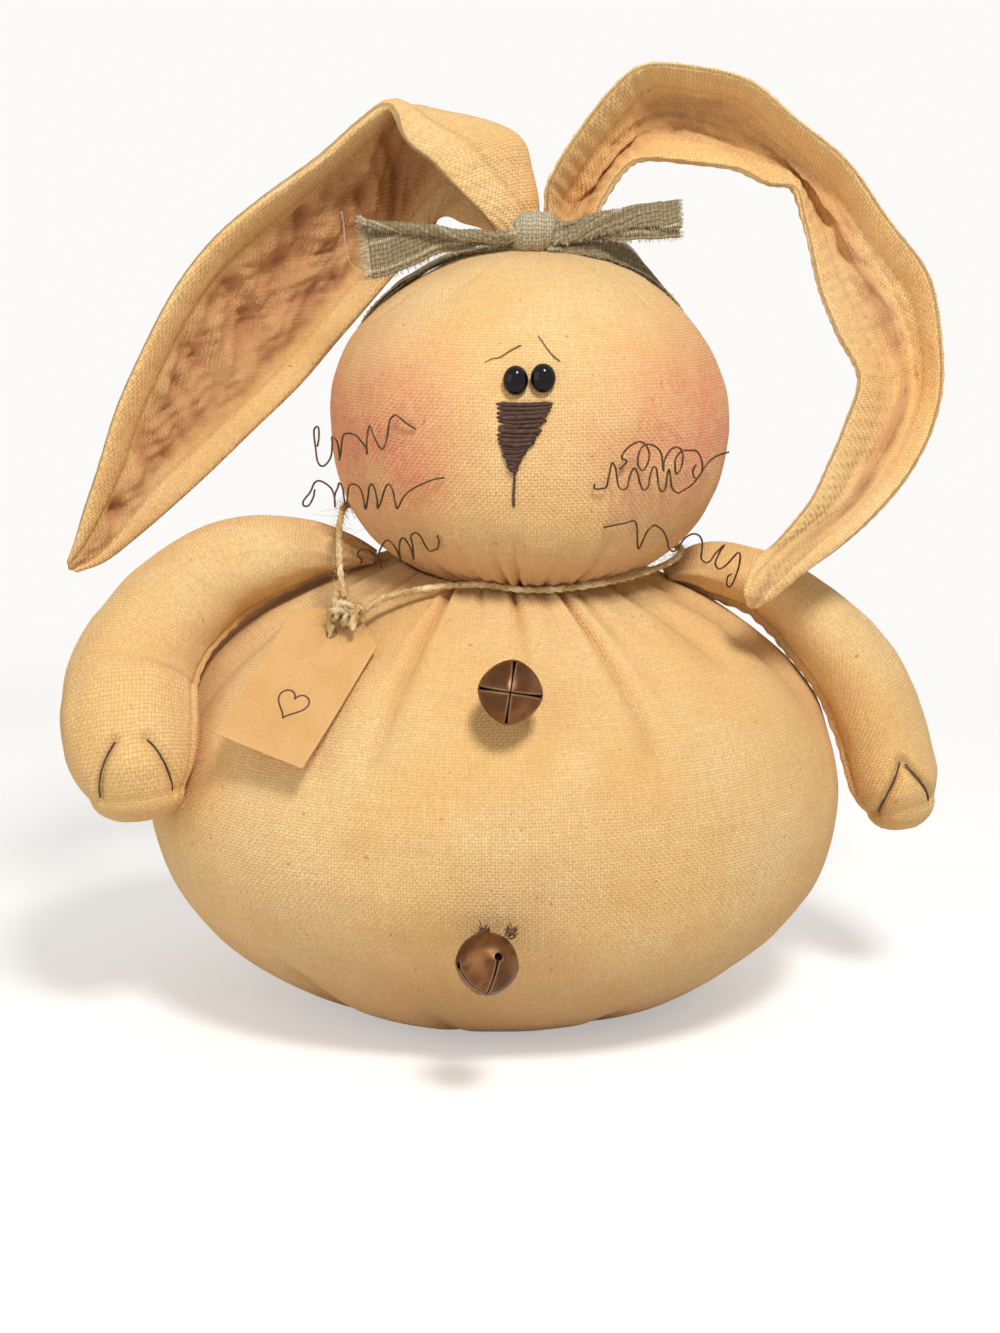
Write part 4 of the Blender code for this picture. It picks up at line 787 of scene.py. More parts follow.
def front_bearings(count):
    """Bearings all round, twice as close together at the front, where -90 degrees falls on one."""
    even = np.linspace(0, 2 * np.pi, count, endpoint=False)
    return even - 0.5 * np.cos(even)


def ball_surface(ball, stretches, around):
    """Rings of a ball, their rise, the bearing and outward direction of each point, and its place in
    shares of the half sizes."""
    bearing = front_bearings(around)
    rings, up = ball.rings(ring_angles(stretches), bearing)
    place = ((rings - ball.centre) / ball.half).transpose(2, 0, 1)
    return rings, up, np.broadcast_to(bearing, up.shape), ball.normal(rings), place


def gathers(seed, turn, first, second):
    """Height in mm of cloth drawn in by a thread: two sets of waves round it, each with its own
    height and count, that wobble past each other."""
    wobble = 1.5 * swirl(seed, np.cos(turn), np.sin(turn), waves=2)
    return (first[0] * np.cos(first[1] * turn + 4 * wobble)
            + second[0] * np.cos(second[1] * turn - 3 * wobble))


def body_skin():
    """The ball with its folds, gathers, lumps and flat seat; its top follows the head's underside."""
    rings, up, turn, out, (x, y, z) = ball_surface(BODY, BODY_STRETCHES, BODY_AROUND)
    deep = folds_down(turn, up, BODY_FOLDS, 1, BODY_FOLD_FADE)
    for degrees, height, depth, width, tall in BODY_BASE_FOLDS:
        deep += depth * np.exp(-(turn_from(turn, degrees) / width) ** 2 - ((up - height) / tall) ** 2)
    near = np.clip((up - 0.72) / 0.28, 0, 1)
    deep += near ** 2 * gathers(5, turn, (0.28, 58), (0.3, 31))
    lumps = 0.55 * swirl(8, x, y, z, waves=3.2) + 0.16 * swirl(9, x, y, z, waves=11)
    fine = 0.05 * swirl(10, x, y, z, waves=34, count=24)
    rings = rings + out * ((lumps + fine - deep) * MM)[..., None]
    rings[..., 2] = np.maximum(rings[..., 2], 0)
    share = (rings - HEAD_CENTRE) / HEAD_HALF
    away = np.hypot(share[..., 0], share[..., 1])
    drop = np.clip(1 - away ** HEAD.lower, 0, 1) ** (1 / HEAD.lower)
    under = HEAD_CENTRE[2] - HEAD_HALF[2] * drop - NECK_GAP
    rings[..., 2] = np.where(away < 1, np.minimum(rings[..., 2], under), rings[..., 2])
    # Painted shade: tint 1 darkens the body towards the table, in its folds and under the head at the neck,
    # with faint random blotches; tint 3 adds a deeper painted shade towards the table, uneven by the same
    # blotches.
    tint = np.zeros((*up.shape, 3))
    low = np.clip(-up, 0, 1)
    blotch = np.clip(swirl(12, x, y, z, waves=5), -1.5, 1.5)
    base = np.clip((-up - 0.30) / 0.65, 0, 1) ** 1.4
    tint[..., 0] = 0.08 * low + 0.55 * base + 0.12 * np.clip(deep, 0, 3) + 0.05 * near + 0.02 * blotch
    tint[..., 0] = np.clip(tint[..., 0], 0, 0.65)
    tint[..., 2] = np.clip(0.20 * low ** 1.2 * (1 + 0.4 * blotch) + 0.05 * blotch, 0, 0.5)
    top = (HEAD_CENTRE[0], HEAD_CENTRE[1], HEAD_CENTRE[2] - HEAD_HALF[2] - NECK_GAP)
    return closed_skin("body_muslin", rings, [(0, 0, 0), top], ball_uv(rings, BODY_WIDEST), tint,
                       muslin_finish("muslin_body", 0.12), ["body"])


body = body_skin()


# Head: the same muslin, firmly stuffed and drawn in underneath by a thread, so that all its folds
# meet at the neck. Both cheeks are rubbed with dry blush.
HEAD_FOLDS = [
    (-102, -102, 0.48, 1.4, 1.8), (-96, -95, 0.50, 1.8, 1.9), (-66, -64, 0.54, 1.8, 2.1),
    (-82, -81, 0.70, 0.9, 1.9), (-114, -117, 0.62, 1.0, 2.2), (-128, -133, 0.56, 1.2, 2.6),
    (-52, -47, 0.62, 1.0, 2.4), (-38, -33, 0.56, 1.1, 2.6),
    (-145, -151, 0.5, 1.4, 4), (-20, -16, 0.45, 1.5, 4), (4, 8, 0.45, 1.6, 5), (34, 30, 0.4, 1.8, 5),
    (62, 66, 0.45, 1.6, 5), (95, 92, 0.4, 1.8, 5), (124, 128, 0.45, 1.6, 5), (152, 150, 0.4, 1.6, 5),
    (178, 182, 0.45, 1.5, 5)]
# Wrinkles on the crown: bearing and height at each end, depth in mm, half width in degrees
HEAD_WRINKLES = [
    (-41, 0.86, -38, 0.60, 0.6, 1.6), (-73, 0.95, -82, 0.5, 0.30, 1.6), (-118, 0.93, -126, 0.7, 0.4, 2.4),
    (-150, 0.8, -160, 0.55, 0.6, 3.0), (20, 0.85, 30, 0.5, 0.8, 4.0), (95, 0.85, 88, 0.4, 0.8, 4.0)]
HEAD_STRETCHES = ((-0.75, 60), (np.pi / 2, 110))
HEAD_AROUND = 460
HEAD_WIDEST = 90
# Blush: place from the head's centre as seen from the front, half sizes in mm, strength
CHEEKS = [(-50, 1, 29, 24, 0.95), (-48, -10, 22, 17, 0.35), (52, 2, 28, 24, 0.85), (44, -10, 24, 15, 0.35)]


def head_skin():
    """The ball with its gathers, a few wrinkles on the crown and rubbed blush on the cheeks."""
    rings, up, turn, out, (x, y, z) = ball_surface(HEAD, HEAD_STRETCHES, HEAD_AROUND)
    deep = folds_down(turn, up, HEAD_FOLDS, -1)
    near = np.clip((-up - 0.70) / 0.30, 0, 1)
    deep += near ** 1.5 * gathers(21, turn, (0.22, 52), (0.25, 29))
    for start, start_up, end, end_up, depth, width in HEAD_WRINKLES:
        share = np.clip((up - start_up) / (end_up - start_up), -0.3, 1.3)
        centre = start + (end - start) * share
        away = turn_from(turn, centre)
        fade = np.clip(1.2 - np.abs(share - 0.5) * 2, 0, 1)
        deep += depth * fade * np.exp(-(away / width) ** 2)
    lumps = 0.4 * swirl(22, x, y, z, waves=2.8) + 0.10 * swirl(23, x, y, z, waves=9)
    fine = 0.04 * swirl(24, x, y, z, waves=22, count=24)
    rings = rings + out * ((lumps * (1 - near) + fine - deep) * MM)[..., None]
    flat_x, flat_z = x * HEAD_HALF[0] / MM, z * HEAD_HALF[2] / MM
    rub = 1 + 0.22 * swirl(25, x, y, z, waves=9)
    blush = np.zeros_like(up)
    for cheek_x, cheek_z, wide, tall, strength in CHEEKS:
        blush += strength * np.exp(-((flat_x - cheek_x) / wide) ** 2 - ((flat_z - cheek_z) / tall) ** 2)
    blush *= np.clip((0.55 - y) / 0.5, 0, 1) * rub
    chin = np.clip((-z - 0.45) / 0.4, 0, 1)
    # Painted shade: tint 1 darkens the folds, the crown's wrinkles and the gathers under the head. Tint 3
    # makes the head darker towards the chin.
    tint = np.zeros((*up.shape, 3))
    tint[..., 0] = np.clip(0.12 * np.clip(deep, 0, 3) + 0.12 * near, 0, 0.5)
    tint[..., 1] = np.clip(blush, 0, 1)
    tint[..., 2] = np.clip(0.46 * chin, 0, 0.5)
    ends = [HEAD_CENTRE - (0, 0, HEAD_HALF[2]), HEAD_CENTRE + (0, 0, HEAD_HALF[2])]
    return closed_skin("head_muslin", rings, ends, ball_uv(rings, HEAD_WIDEST), tint,
                       muslin_finish("muslin_head", 0.0, blush=0.8), ["head"])


head = head_skin()


# Arms: muslin tubes cut as two layers, so a seam runs down each side as a thin puckered roll. They
# are sewn flat between head and body, stuffed towards the paw, and closed by a seam at the paw's end.
# Stations: place in shares of the body's half sizes, then half depth and half width in mm.
ARM_LEFT_ROUTE = [
    ((-0.33, -0.11, 0.985), 8, 1.6), ((-0.42, -0.11, 1.01), 12, 5.5), ((-0.56, -0.10, 1.01), 16, 11),
    ((-0.73, -0.12, 0.95), 18, 14.8), ((-0.85, -0.18, 0.84), 18, 16.6), ((-0.935, -0.28, 0.715), 18, 18),
    ((-0.985, -0.39, 0.56), 18.5, 20), ((-0.985, -0.49, 0.42), 19, 21.4), ((-0.972, -0.55, 0.26), 18, 20),
    ((-0.962, -0.565, 0.14), 14, 15)]
ARM_LEFT_END = (-0.962, -0.565, 0.03)
ARM_RIGHT_ROUTE = [
    ((0.50, 0.05, 0.89), 10, 2.0), ((0.61, 0.05, 0.915), 14, 7.3), ((0.76, 0.03, 0.868), 17, 9.5),
    ((0.875, 0.0, 0.765), 18, 11.2), ((0.995, -0.03, 0.60), 18, 13), ((1.075, -0.05, 0.44), 18, 14.4),
    ((1.135, -0.065, 0.235), 18, 15), ((1.17, -0.085, 0.045), 17, 14.6), ((1.19, -0.095, -0.06), 13, 11)]
ARM_RIGHT_END = (1.19, -0.095, -0.165)
ARM_SHAPES = {"left": (ARM_LEFT_ROUTE, ARM_LEFT_END), "right": (ARM_RIGHT_ROUTE, ARM_RIGHT_END)}
ARM_STATIONS = 17
ARM_ROWS = 150
ARM_CAP_ROWS = 26
ARM_SIDES = 260
ARM_CLEARANCE = 0.35 * MM
ARM_CLOTH_RADIUS = 17
# Toe threads: share of the arm's stations, turn round the arm in degrees (-90 is the front)
TOES = {
    "toe_stitch_left_outer": ("left", ((0.765, -94), (0.78, -104), (0.82, -116), (0.87, -128))),
    "toe_stitch_left_inner": ("left", ((0.765, -66), (0.782, -56), (0.815, -46), (0.885, -30))),
    "toe_stitch_right_outer": ("right", ((0.72, -88), (0.77, -104), (0.82, -124), (0.885, -152))),
    "toe_stitch_right_inner": ("right", ((0.73, -82), (0.77, -66), (0.825, -54), (0.885, -38)))}
TOE_RADIUS = 0.32 * MM
TOE_DENT = 1.7
TOE_PAD = 2.2
TOE_SINK = 1.15 * MM
TOE_TWIST = 2 * np.pi / (2.2 * MM)
TOE_POINTS = 24
THREAD_SIDES = 10
THREAD_DARK = (0.045, 0.026, 0.018, 1)
THREAD_DARK_PALE = (0.13, 0.08, 0.055, 1)


def arm_stations(route, end):
    """Centres, half depths and half widths along the arm, with two rings of its rounded end."""
    rows = [[*(BODY_CENTRE + np.array(place) * BODY_HALF), depth * MM, width * MM]
            for place, depth, width in route]
    rows = smooth_rows(rows, ARM_STATIONS)
    tip = BODY_CENTRE + np.array(end) * BODY_HALF
    caps = []
    for share in (0.55, 0.86):
        cap = rows[-1].copy()
        cap[:3] += (tip - rows[-1, :3]) * share
        cap[3:] *= np.sqrt(1 - share ** 2)
        caps.append(cap)
    return np.concatenate([rows, caps]), tip


def arm_axes(along):
    """Directions across the arm: wide in the plane of the front view, deep towards the back."""
    deep = unit(np.array([0, 1.0, 0]) - along * along[:, 1:2])
    return np.cross(along, deep), deep


def toe_path(route, end, marks, lift):
    """Points over the paw for a toe thread: an even bend through its marks."""
    rows, _ = arm_stations(route, end)
    steps = np.linspace(0, 1, len(marks))
    even = np.linspace(0, 1, TOE_POINTS)
    share, turn = (np.polyval(np.polyfit(steps, values, 2), even) for values in zip(*marks))
    place = share * (len(rows) - 1)
    low = np.clip(place.astype(int), 0, len(rows) - 2)
    row = rows[low] + (rows[low + 1] - rows[low]) * (place - low)[:, None]
    wide, deep = arm_axes(unit(rows[low + 1, :3] - rows[low, :3]))
    cos, sin = np.cos(np.radians(turn))[:, None], np.sin(np.radians(turn))[:, None]
    skin = row[:, :3] + wide * row[:, 4:] * cos + deep * row[:, 3:4] * sin
    path = skin + unit(wide * cos / row[:, 4:] + deep * sin / row[:, 3:4]) * lift
    return np.stack([np.polyval(np.polyfit(even, part, 3), even) for part in path.T], axis=1)


def arm_middle(rows, tip):
    """Centre, half depth and half width of each ring along the arm and round its end, and the two
    directions across it."""
    fine = smooth_rows(rows[:ARM_STATIONS], ARM_ROWS)
    swell = np.sin(np.linspace(0, np.pi / 2, ARM_CAP_ROWS + 1)[1:] * 0.985)[:, None]
    cap = np.broadcast_to(fine[-1], (ARM_CAP_ROWS, 5)).copy()
    cap[:, :3] += (tip - fine[-1, :3]) * swell
    cap[:, 3:] *= np.sqrt(1 - swell ** 2) ** 0.9
    fine = np.concatenate([fine, cap])
    straight_end = np.linspace(fine[ARM_ROWS - 1, :3], tip, 30)[1:]
    axis = np.concatenate([fine[:ARM_ROWS, :3], straight_end])[:len(fine)]
    wide, deep = arm_axes(unit(np.gradient(axis, axis=0)))
    wide[ARM_ROWS:] = wide[ARM_ROWS - 1]
    deep[ARM_ROWS:] = deep[ARM_ROWS - 1]
    return fine, wide, deep


def arm_seams(angle, length, wear, seam_turn, ridge, seed):
    """Rise in mm of the two puckered side seams, each a roll with a valley beside it, and how much painted
    shade darkens the valleys. The outer seam is plain to see and the inner one is faint."""
    pucker = np.sin(length * 2 * np.pi / 6.5 + 1.8 * np.sin(length / 9.0) + seed)[:, None]
    out, groove = np.zeros(angle.shape), np.zeros(angle.shape)
    for side, strength in ((seam_turn, 1.0), (180 - seam_turn, 0.12)):
        front = 1 if side else -1
        away = turn_from(angle, side + 10 * front)
        roll = np.exp(-(away / 4.2) ** 2)
        valley = np.exp(-((away - 7 * front) / 2.8) ** 2)
        out += strength * wear * (ridge * roll * (1 + 0.06 * pucker) - 0.9 * valley * (1 + 0.35 * pucker))
        out += strength * wear * 0.12 * pucker * np.exp(-(away / 24) ** 2)
        groove += strength * valley * (1 + 0.4 * pucker)
    return out, groove


def pull_toes(rings, toes):
    """The paw's pad swells, the toe threads pull it in along their paths, and the end seam stands up.
    Gives the new rings and how far each point is pulled in, from 0 to 1."""
    push = unit(rings - rings.mean(axis=1, keepdims=True))
    dent = 0
    for path in toes:
        away = np.linalg.norm(rings[:, :, None] - path, axis=-1).min(axis=-1) / MM
        dent = dent + np.exp(-(away / 1.9) ** 2)
    dent = np.clip(dent, 0, 1)
    pad = (toes[0].mean(axis=0) + toes[1].mean(axis=0)) / 2
    pad = np.exp(-(np.linalg.norm(rings - pad, axis=-1) / (8 * MM)) ** 2)
    rings = rings + push * ((TOE_PAD * pad * (1 - dent) - TOE_DENT * dent) * MM)[..., None]
    end_seam = np.exp(-((np.arange(len(rings)) - (len(rings) - 9)) / 1.2) ** 2)[:, None]
    return rings + push * (0.5 * end_seam * MM)[..., None], dent


def arm_skin(side_name, ridge, seed):
    """The tube with its two side seams, soft lumps, and toes pulled in by thread."""
    route, end = ARM_SHAPES[side_name]
    rows, tip = arm_stations(route, end)
    fine, wide, deep = arm_middle(rows, tip)
    centre = fine[:, :3]
    turn = np.linspace(0, 2 * np.pi, ARM_SIDES, endpoint=False)
    angle = np.broadcast_to(turn, (len(fine), ARM_SIDES))
    length = run_of(centre) / MM
    along = (length / length[-1])[:, None]
    wear = np.clip(1.25 - along * 0.9, 0.35, 1)
    out, groove = arm_seams(angle, length, wear, 0 if side_name == "left" else 180, ridge, seed)
    lumps = 0.45 * swirl(seed, along * 3 + 0 * angle, np.cos(angle), np.sin(angle), waves=2.4)
    lumps += 0.14 * swirl(seed + 1, along * 8 + 0 * angle, np.cos(angle), np.sin(angle), waves=4.5)
    foot = np.clip(1 - along * 5, 0, 1)
    lumps += 0.8 * foot * np.cos(angle * 9 + along * 30)
    full = np.clip(np.sqrt(fine[:, 4:] / (8 * MM)), 0, 1)
    half_wide = fine[:, 4:] + (out + lumps) * full * MM
    half_deep = fine[:, 3:4] + (out + lumps) * full * MM
    rings = (centre[:, None] + wide[:, None] * (half_wide * np.cos(turn))[..., None]
             + deep[:, None] * (half_deep * np.sin(turn))[..., None])
    toes = [toe_path(route, end, marks, 0) for owner, marks in TOES.values() if owner == side_name]
    rings, dent = pull_toes(rings, toes)
    rings = BODY.push_out(rings, ARM_CLEARANCE)
    rings = HEAD.push_out(rings, ARM_CLEARANCE)
    # Painted shade: tint 1 darkens the seam valleys, the dents the toe threads pull in and the shoulder end
    # between head and body; tint 3 adds painted shade there and on the arm's back side.
    tint = np.zeros((*angle.shape, 3))
    tint[..., 0] = np.clip(0.34 * groove * wear + 0.12 * dent + 0.08 * foot, 0, 0.5)
    tint[..., 2] = np.clip(0.10 * foot + 0.05 * (1 + np.sin(angle)) / 2, 0, 0.4)
    around = np.linspace(0, 1, ARM_SIDES + 1) * 2 * np.pi * ARM_CLOTH_RADIUS
    uv = np.stack(np.broadcast_arrays(around, length[:, None]), -1)
    ends = [rings[0].mean(axis=0), rings[-1].mean(axis=0)]
    return closed_skin(f"arm_{side_name}_muslin", rings, ends, uv, tint, MUSLIN_ARM,
                       [f"arm_{side_name}"])


MUSLIN_ARM = muslin_finish("muslin_arm", 0.05, wrinkled=0.6)
arm_left = arm_skin("left", ridge=1.1, seed=31)
arm_right = arm_skin("right", ridge=2.6, seed=41)


def thread_finish(name, colour, pale):
    """Cotton thread: fine slanted plies and a little fuzz of tone."""
    thread = Finish(name)
    plies = thread.noise(thread.cloth(), 1.0, 3, (2.2, 6, 1))
    thread.shade(Base_Color=thread.coats(colour, (pale, plies, 0.35, 0.7)), Roughness=0.75,
                 Normal=thread.bump(plies, 0.08 * MM))
    return thread.material


# Toe stitches: dark thread pulled tight over the paw, so it lies in the dent between the toes.
dark_thread = thread_finish("dark_thread", THREAD_DARK, THREAD_DARK_PALE)
for toe_name, (owner, marks) in TOES.items():
    toe = toe_path(*ARM_SHAPES[owner], marks, -TOE_SINK)[None]
    plied(toe_name + "_thread", toe, TOE_RADIUS, THREAD_SIDES, TOE_TWIST, (0, 1, 0), dark_thread,
          "thread_dark", [toe_name])


# Ears: two layers of muslin sewn together and turned, with a wire pushed into the channel between
# the rim and a seam that runs inside it. The wires hold the bends; the cloth between them crumples.
# Routes: front rim, middle and back rim at each station, in mm from the top of the head.
CROWN = HEAD_CENTRE + (0, 0, HEAD_HALF[2])
EAR_LEFT_SEAT = [(-8, 5), (-1, 13), (-7, 17)]
EAR_RIGHT_SEAT = [(6, 7), (14, 18), (20, 9)]
EAR_LEFT_ROUTE = [
    [(-14, 1, 9), (1, 15, 11), (-15, 22, 6)], [(-23, 0, 18), (-1, 16, 24), (-22, 26, 8)],
    [(-31, 0, 26), (-5, 16, 34), (-27, 28, 10)], [(-39, 0, 33), (-22, 18, 39), (-31, 30, 8)],
    [(-44, 0, 43), (-36, 24, 36), (-34, 32, 2)], [(-53, -2, 39), (-47, 30, 22), (-41, 32, -5)],
    [(-66, -2, 28), (-60, 30, 10), (-51, 30, -16)], [(-85, -2, 15), (-75, 28, -5), (-64, 27, -31)],
    [(-102, -2, 0), (-92, 24, -23), (-79, 24, -48)], [(-118, -1, -22), (-108, 20, -42), (-95, 21, -63)],
    [(-131, 0, -48), (-122, 16, -62), (-110, 18, -77)], [(-141, 2, -74), (-134, 12, -82), (-126, 15, -91)],
    [(-148, 5, -92), (-144, 9, -97), (-139, 12, -101)], [(-152, 7, -101), (-151, 8, -103), (-149, 9, -105)]]
EAR_RIGHT_ROUTE = [
    [(5, 4, 17), (14, 24, 10), (22, 10, 11)], [(8, 4, 25), (18, 26, 18), (26, 14, 18)],
    [(16, 6, 37), (27, 28, 31), (32, 18, 26)], [(26, 8, 49), (36, 30, 39), (39, 22, 28)],
    [(36, 10, 56), (45, 32, 43), (52, 24, 27)], [(52, 12, 56), (57, 32, 41), (67, 22, 25)],
    [(69, 12, 52), (70, 30, 38), (77, 18, 20)], [(84, 10, 40), (85, 26, 28), (86, 14, 19)],
    [(101, 9, 27), (96, 24, 14), (88, 10, 7)], [(115, 8, 9), (106, 20, -5), (92, 7, -12)],
    [(128, 6, -10), (117, 18, -23), (98, 3, -26)], [(132, 2, -35), (122, 12, -42), (105, -2, -40)],
    [(129, -4, -54), (117, 2, -57), (100, -8, -55)], [(121, -11, -69), (109, -6, -69), (93, -15, -68)],
    [(109, -19, -82), (100, -15, -80), (87, -22, -78)], [(96, -26, -92), (86, -26, -89), (77, -30, -88)],
    [(84, -32, -99), (75, -36, -97), (69, -36, -94)], [(76, -36, -105), (69, -40, -103), (66, -39, -102)],
    [(71, -37, -108), (68, -38, -108), (67, -38, -107)]]
EAR_ROWS = 300
EAR_ACROSS = 61
EAR_RIM_WIDTH = 9.5 * MM
EAR_THICKNESS = 3.4 * MM
EAR_CLEARANCE = 3.2 * MM
EAR_CLOTH_SHIFT = 200  # between the cloth coordinates of the two layers, in mm
STITCH_LENGTH = 2.6
# How each ear is worn: height of its crushing and of its long wrinkles in mm, where the crushing
# starts and the darker lining ends in mm along it, which layer is the lining, how dark it is, the stain
# of the other layer, thickness at the seam and the rim in mm, the darkness of its stitches together
# with the painted shade of the seam groove, its seed
EAR_LEFT_LOOK = dict(crush=2.4, stripes=0.0, start=60, lining_end=300, lining="face", lined=0.58,
                     stain=0.14, seam=1.5, rim=4.6, stitches=0.42, seed=51)
EAR_RIGHT_LOOK = dict(crush=2.0, stripes=1.9, start=10, lining_end=115, lining="rear", lined=0.18,
                      stain=0.34, seam=2.3, rim=3.7, stitches=0.30, seed=61)


def ear_seat(seat):
    """Where the ear's foot is sewn to the crown, from its place in mm across the top of the head."""
    places = HEAD_CENTRE + np.array([(x, y, 0) for x, y in seat]) * MM
    share = (places - HEAD_CENTRE) / HEAD_HALF
    places[:, 2] += np.sqrt(1 - share[:, 0] ** 2 - share[:, 1] ** 2) * HEAD_HALF[2] + SEW_GAP
    return places


def ear_profile(width, seam_thickness, rim_thickness):
    """Shares across the ear, closer together at the rims, and the thickness there: a full round
    channel at each rim, thin at the seams and softly padded between them."""
    seam = np.clip(EAR_RIM_WIDTH / width, 0.1, 0.55)[:, None]
    taper = np.clip(width / EAR_RIM_WIDTH, 0.22, 1)[:, None]
    place = np.linspace(-1, 1, EAR_ACROSS)
    across = np.sin(place * np.pi / 2) * 0.62 + place * 0.38
    inside = (1 - np.abs(across)) / seam
    channel = rim_thickness * np.sqrt(np.clip(1 - (np.clip(inside, 0, 1) * 2 - 1.0) ** 2, 0, 1)) ** 0.8
    channel = np.maximum(channel, seam_thickness * (inside >= 0.5))
    pad = seam_thickness + (EAR_THICKNESS - seam_thickness) * np.clip((inside - 1) / 0.8, 0, 1) ** 0.7
    thick = np.where(inside < 1, channel, pad) * taper
    return across * np.ones_like(seam), inside, thick


def creases(seed, along, side, size, count=4):
    """Crushed cloth of height about -1 to 1: zigzags in several directions, each with straight flats
    between sharp creases, of a length about the size in mm and bent a little along their way."""
    random = np.random.default_rng(seed)
    total = 0
    for _ in range(count):
        turn, phase = random.uniform(0, np.pi), random.uniform(0, 1)
        length = size * random.uniform(0.7, 1.5)
        way = along * np.cos(turn) + side * np.sin(turn)
        across = along * np.sin(turn) - side * np.cos(turn)
        bend = 0.3 * np.sin(across / length * 0.8 + 9 * phase)
        strong = 0.7 + 0.3 * np.sin(across / length * 0.8 + way / length * 0.5 + 20 * phase)
        total = total + strong * (np.abs((way / length + bend + phase) % 1 - 0.5) * 4 - 1)
    return total / np.sqrt(count)


def both(face_values, rear_values):
    """Values round the ear: across its face and back across its rear."""
    return np.concatenate([face_values, rear_values[:, -2:0:-1]], axis=1)


def ear_crumple(look, along, side):
    """Heights without fading: all of the crumpling in mm, its sharp creases and its long wrinkles."""
    seed = look["seed"]
    soft = swirl(seed, along / 17, side / 12, waves=1.3)
    crushed = creases(seed + 1, along, side, 17) + 0.6 * creases(seed + 2, along, side, 9)
    crushed = crushed + 0.28 * creases(seed + 6, along, side, 4.5)
    lines = swirl(seed + 7, along / 40, side / 3.4, waves=1.2)
    lines = lines + 0.35 * swirl(seed + 8, along / 15, side / 1.9, waves=1.3)
    return look["crush"] * (0.4 * soft + crushed) + look["stripes"] * lines, crushed, lines


def ear_sheet(seat, route):
    """A function that makes the ear's middle surface from shares across it, at each row a parabola
    through both rims and the middle; then the run of the middle in mm and the half width."""
    stations = np.concatenate([ear_seat(seat)[None], CROWN + np.array(route) * MM])
    stations = smooth_rows(stations.reshape(len(stations), 9), EAR_ROWS).reshape(-1, 3, 3)
    front, middle, back = stations[:, 0], stations[:, 1], stations[:, 2]
    width = (np.linalg.norm(middle - front, axis=1) + np.linalg.norm(back - middle, axis=1)) / 2

    def surface(across):
        v = across[..., None]
        sheet = (front[:, None] * (v ** 2 - v) + back[:, None] * (v ** 2 + v)) / 2
        return sheet + middle[:, None] * (1 - v ** 2)

    return surface, run_of(middle) / MM, width


def ear_tint(look, along, side, inside, grow, crush, crushed, lines):
    """Darker stitches with the painted shade of the seam groove along them, painted shade in the creases
    and in the valleys of the long wrinkles, and the dye of the lining and of the other layer, both as
    rings round the ear."""
    belly = np.clip((inside - 0.9) / 0.8, 0, 1)
    stitch = np.exp(-((inside - 1.0) / 0.09) ** 2)
    gaps = np.clip(np.sin(along * 2 * np.pi / STITCH_LENGTH) * 3 + 0.6, 0, 1)
    # The stitches are dark thread; the steady part of the line under their gaps is painted shade in the
    # seam groove.
    dark = look["stitches"] * stitch * (0.55 + 0.45 * gaps) * grow
    # Painted shade in the low places of the creases.
    fold = np.clip(-crushed - 0.2, 0, 1) * crush
    stain = swirl(look["seed"] + 5, along / 14, side / 12, waves=1.4)
    stain = np.clip(0.5 + 0.5 * stain, 0, 1) * belly
    # The lining's dye and stain, with painted shade in the creases.
    lining = np.clip(look["lined"] + 0.16 * stain + 0.30 * fold, 0, 0.95) * belly
    # The other layer's stain, with painted shade in the creases and in the valleys of the long wrinkles.
    plain = look["stain"] * stain + 0.16 * fold + 0.22 * look["stripes"] * np.clip(-lines, 0, 1) * belly
    lining = plain + (lining - plain) * np.clip((look["lining_end"] - along) / 30, 0, 1)
    layers = (lining, plain) if look["lining"] == "face" else (plain, lining)
    # Tint 1: the stitches, with painted shade of the seam groove and of the creases.
    darkening = np.clip(both(dark + 0.16 * fold, dark + 0.06 * fold), 0, 0.6)
    return np.stack([darkening, np.zeros_like(darkening), both(*layers)], axis=-1)


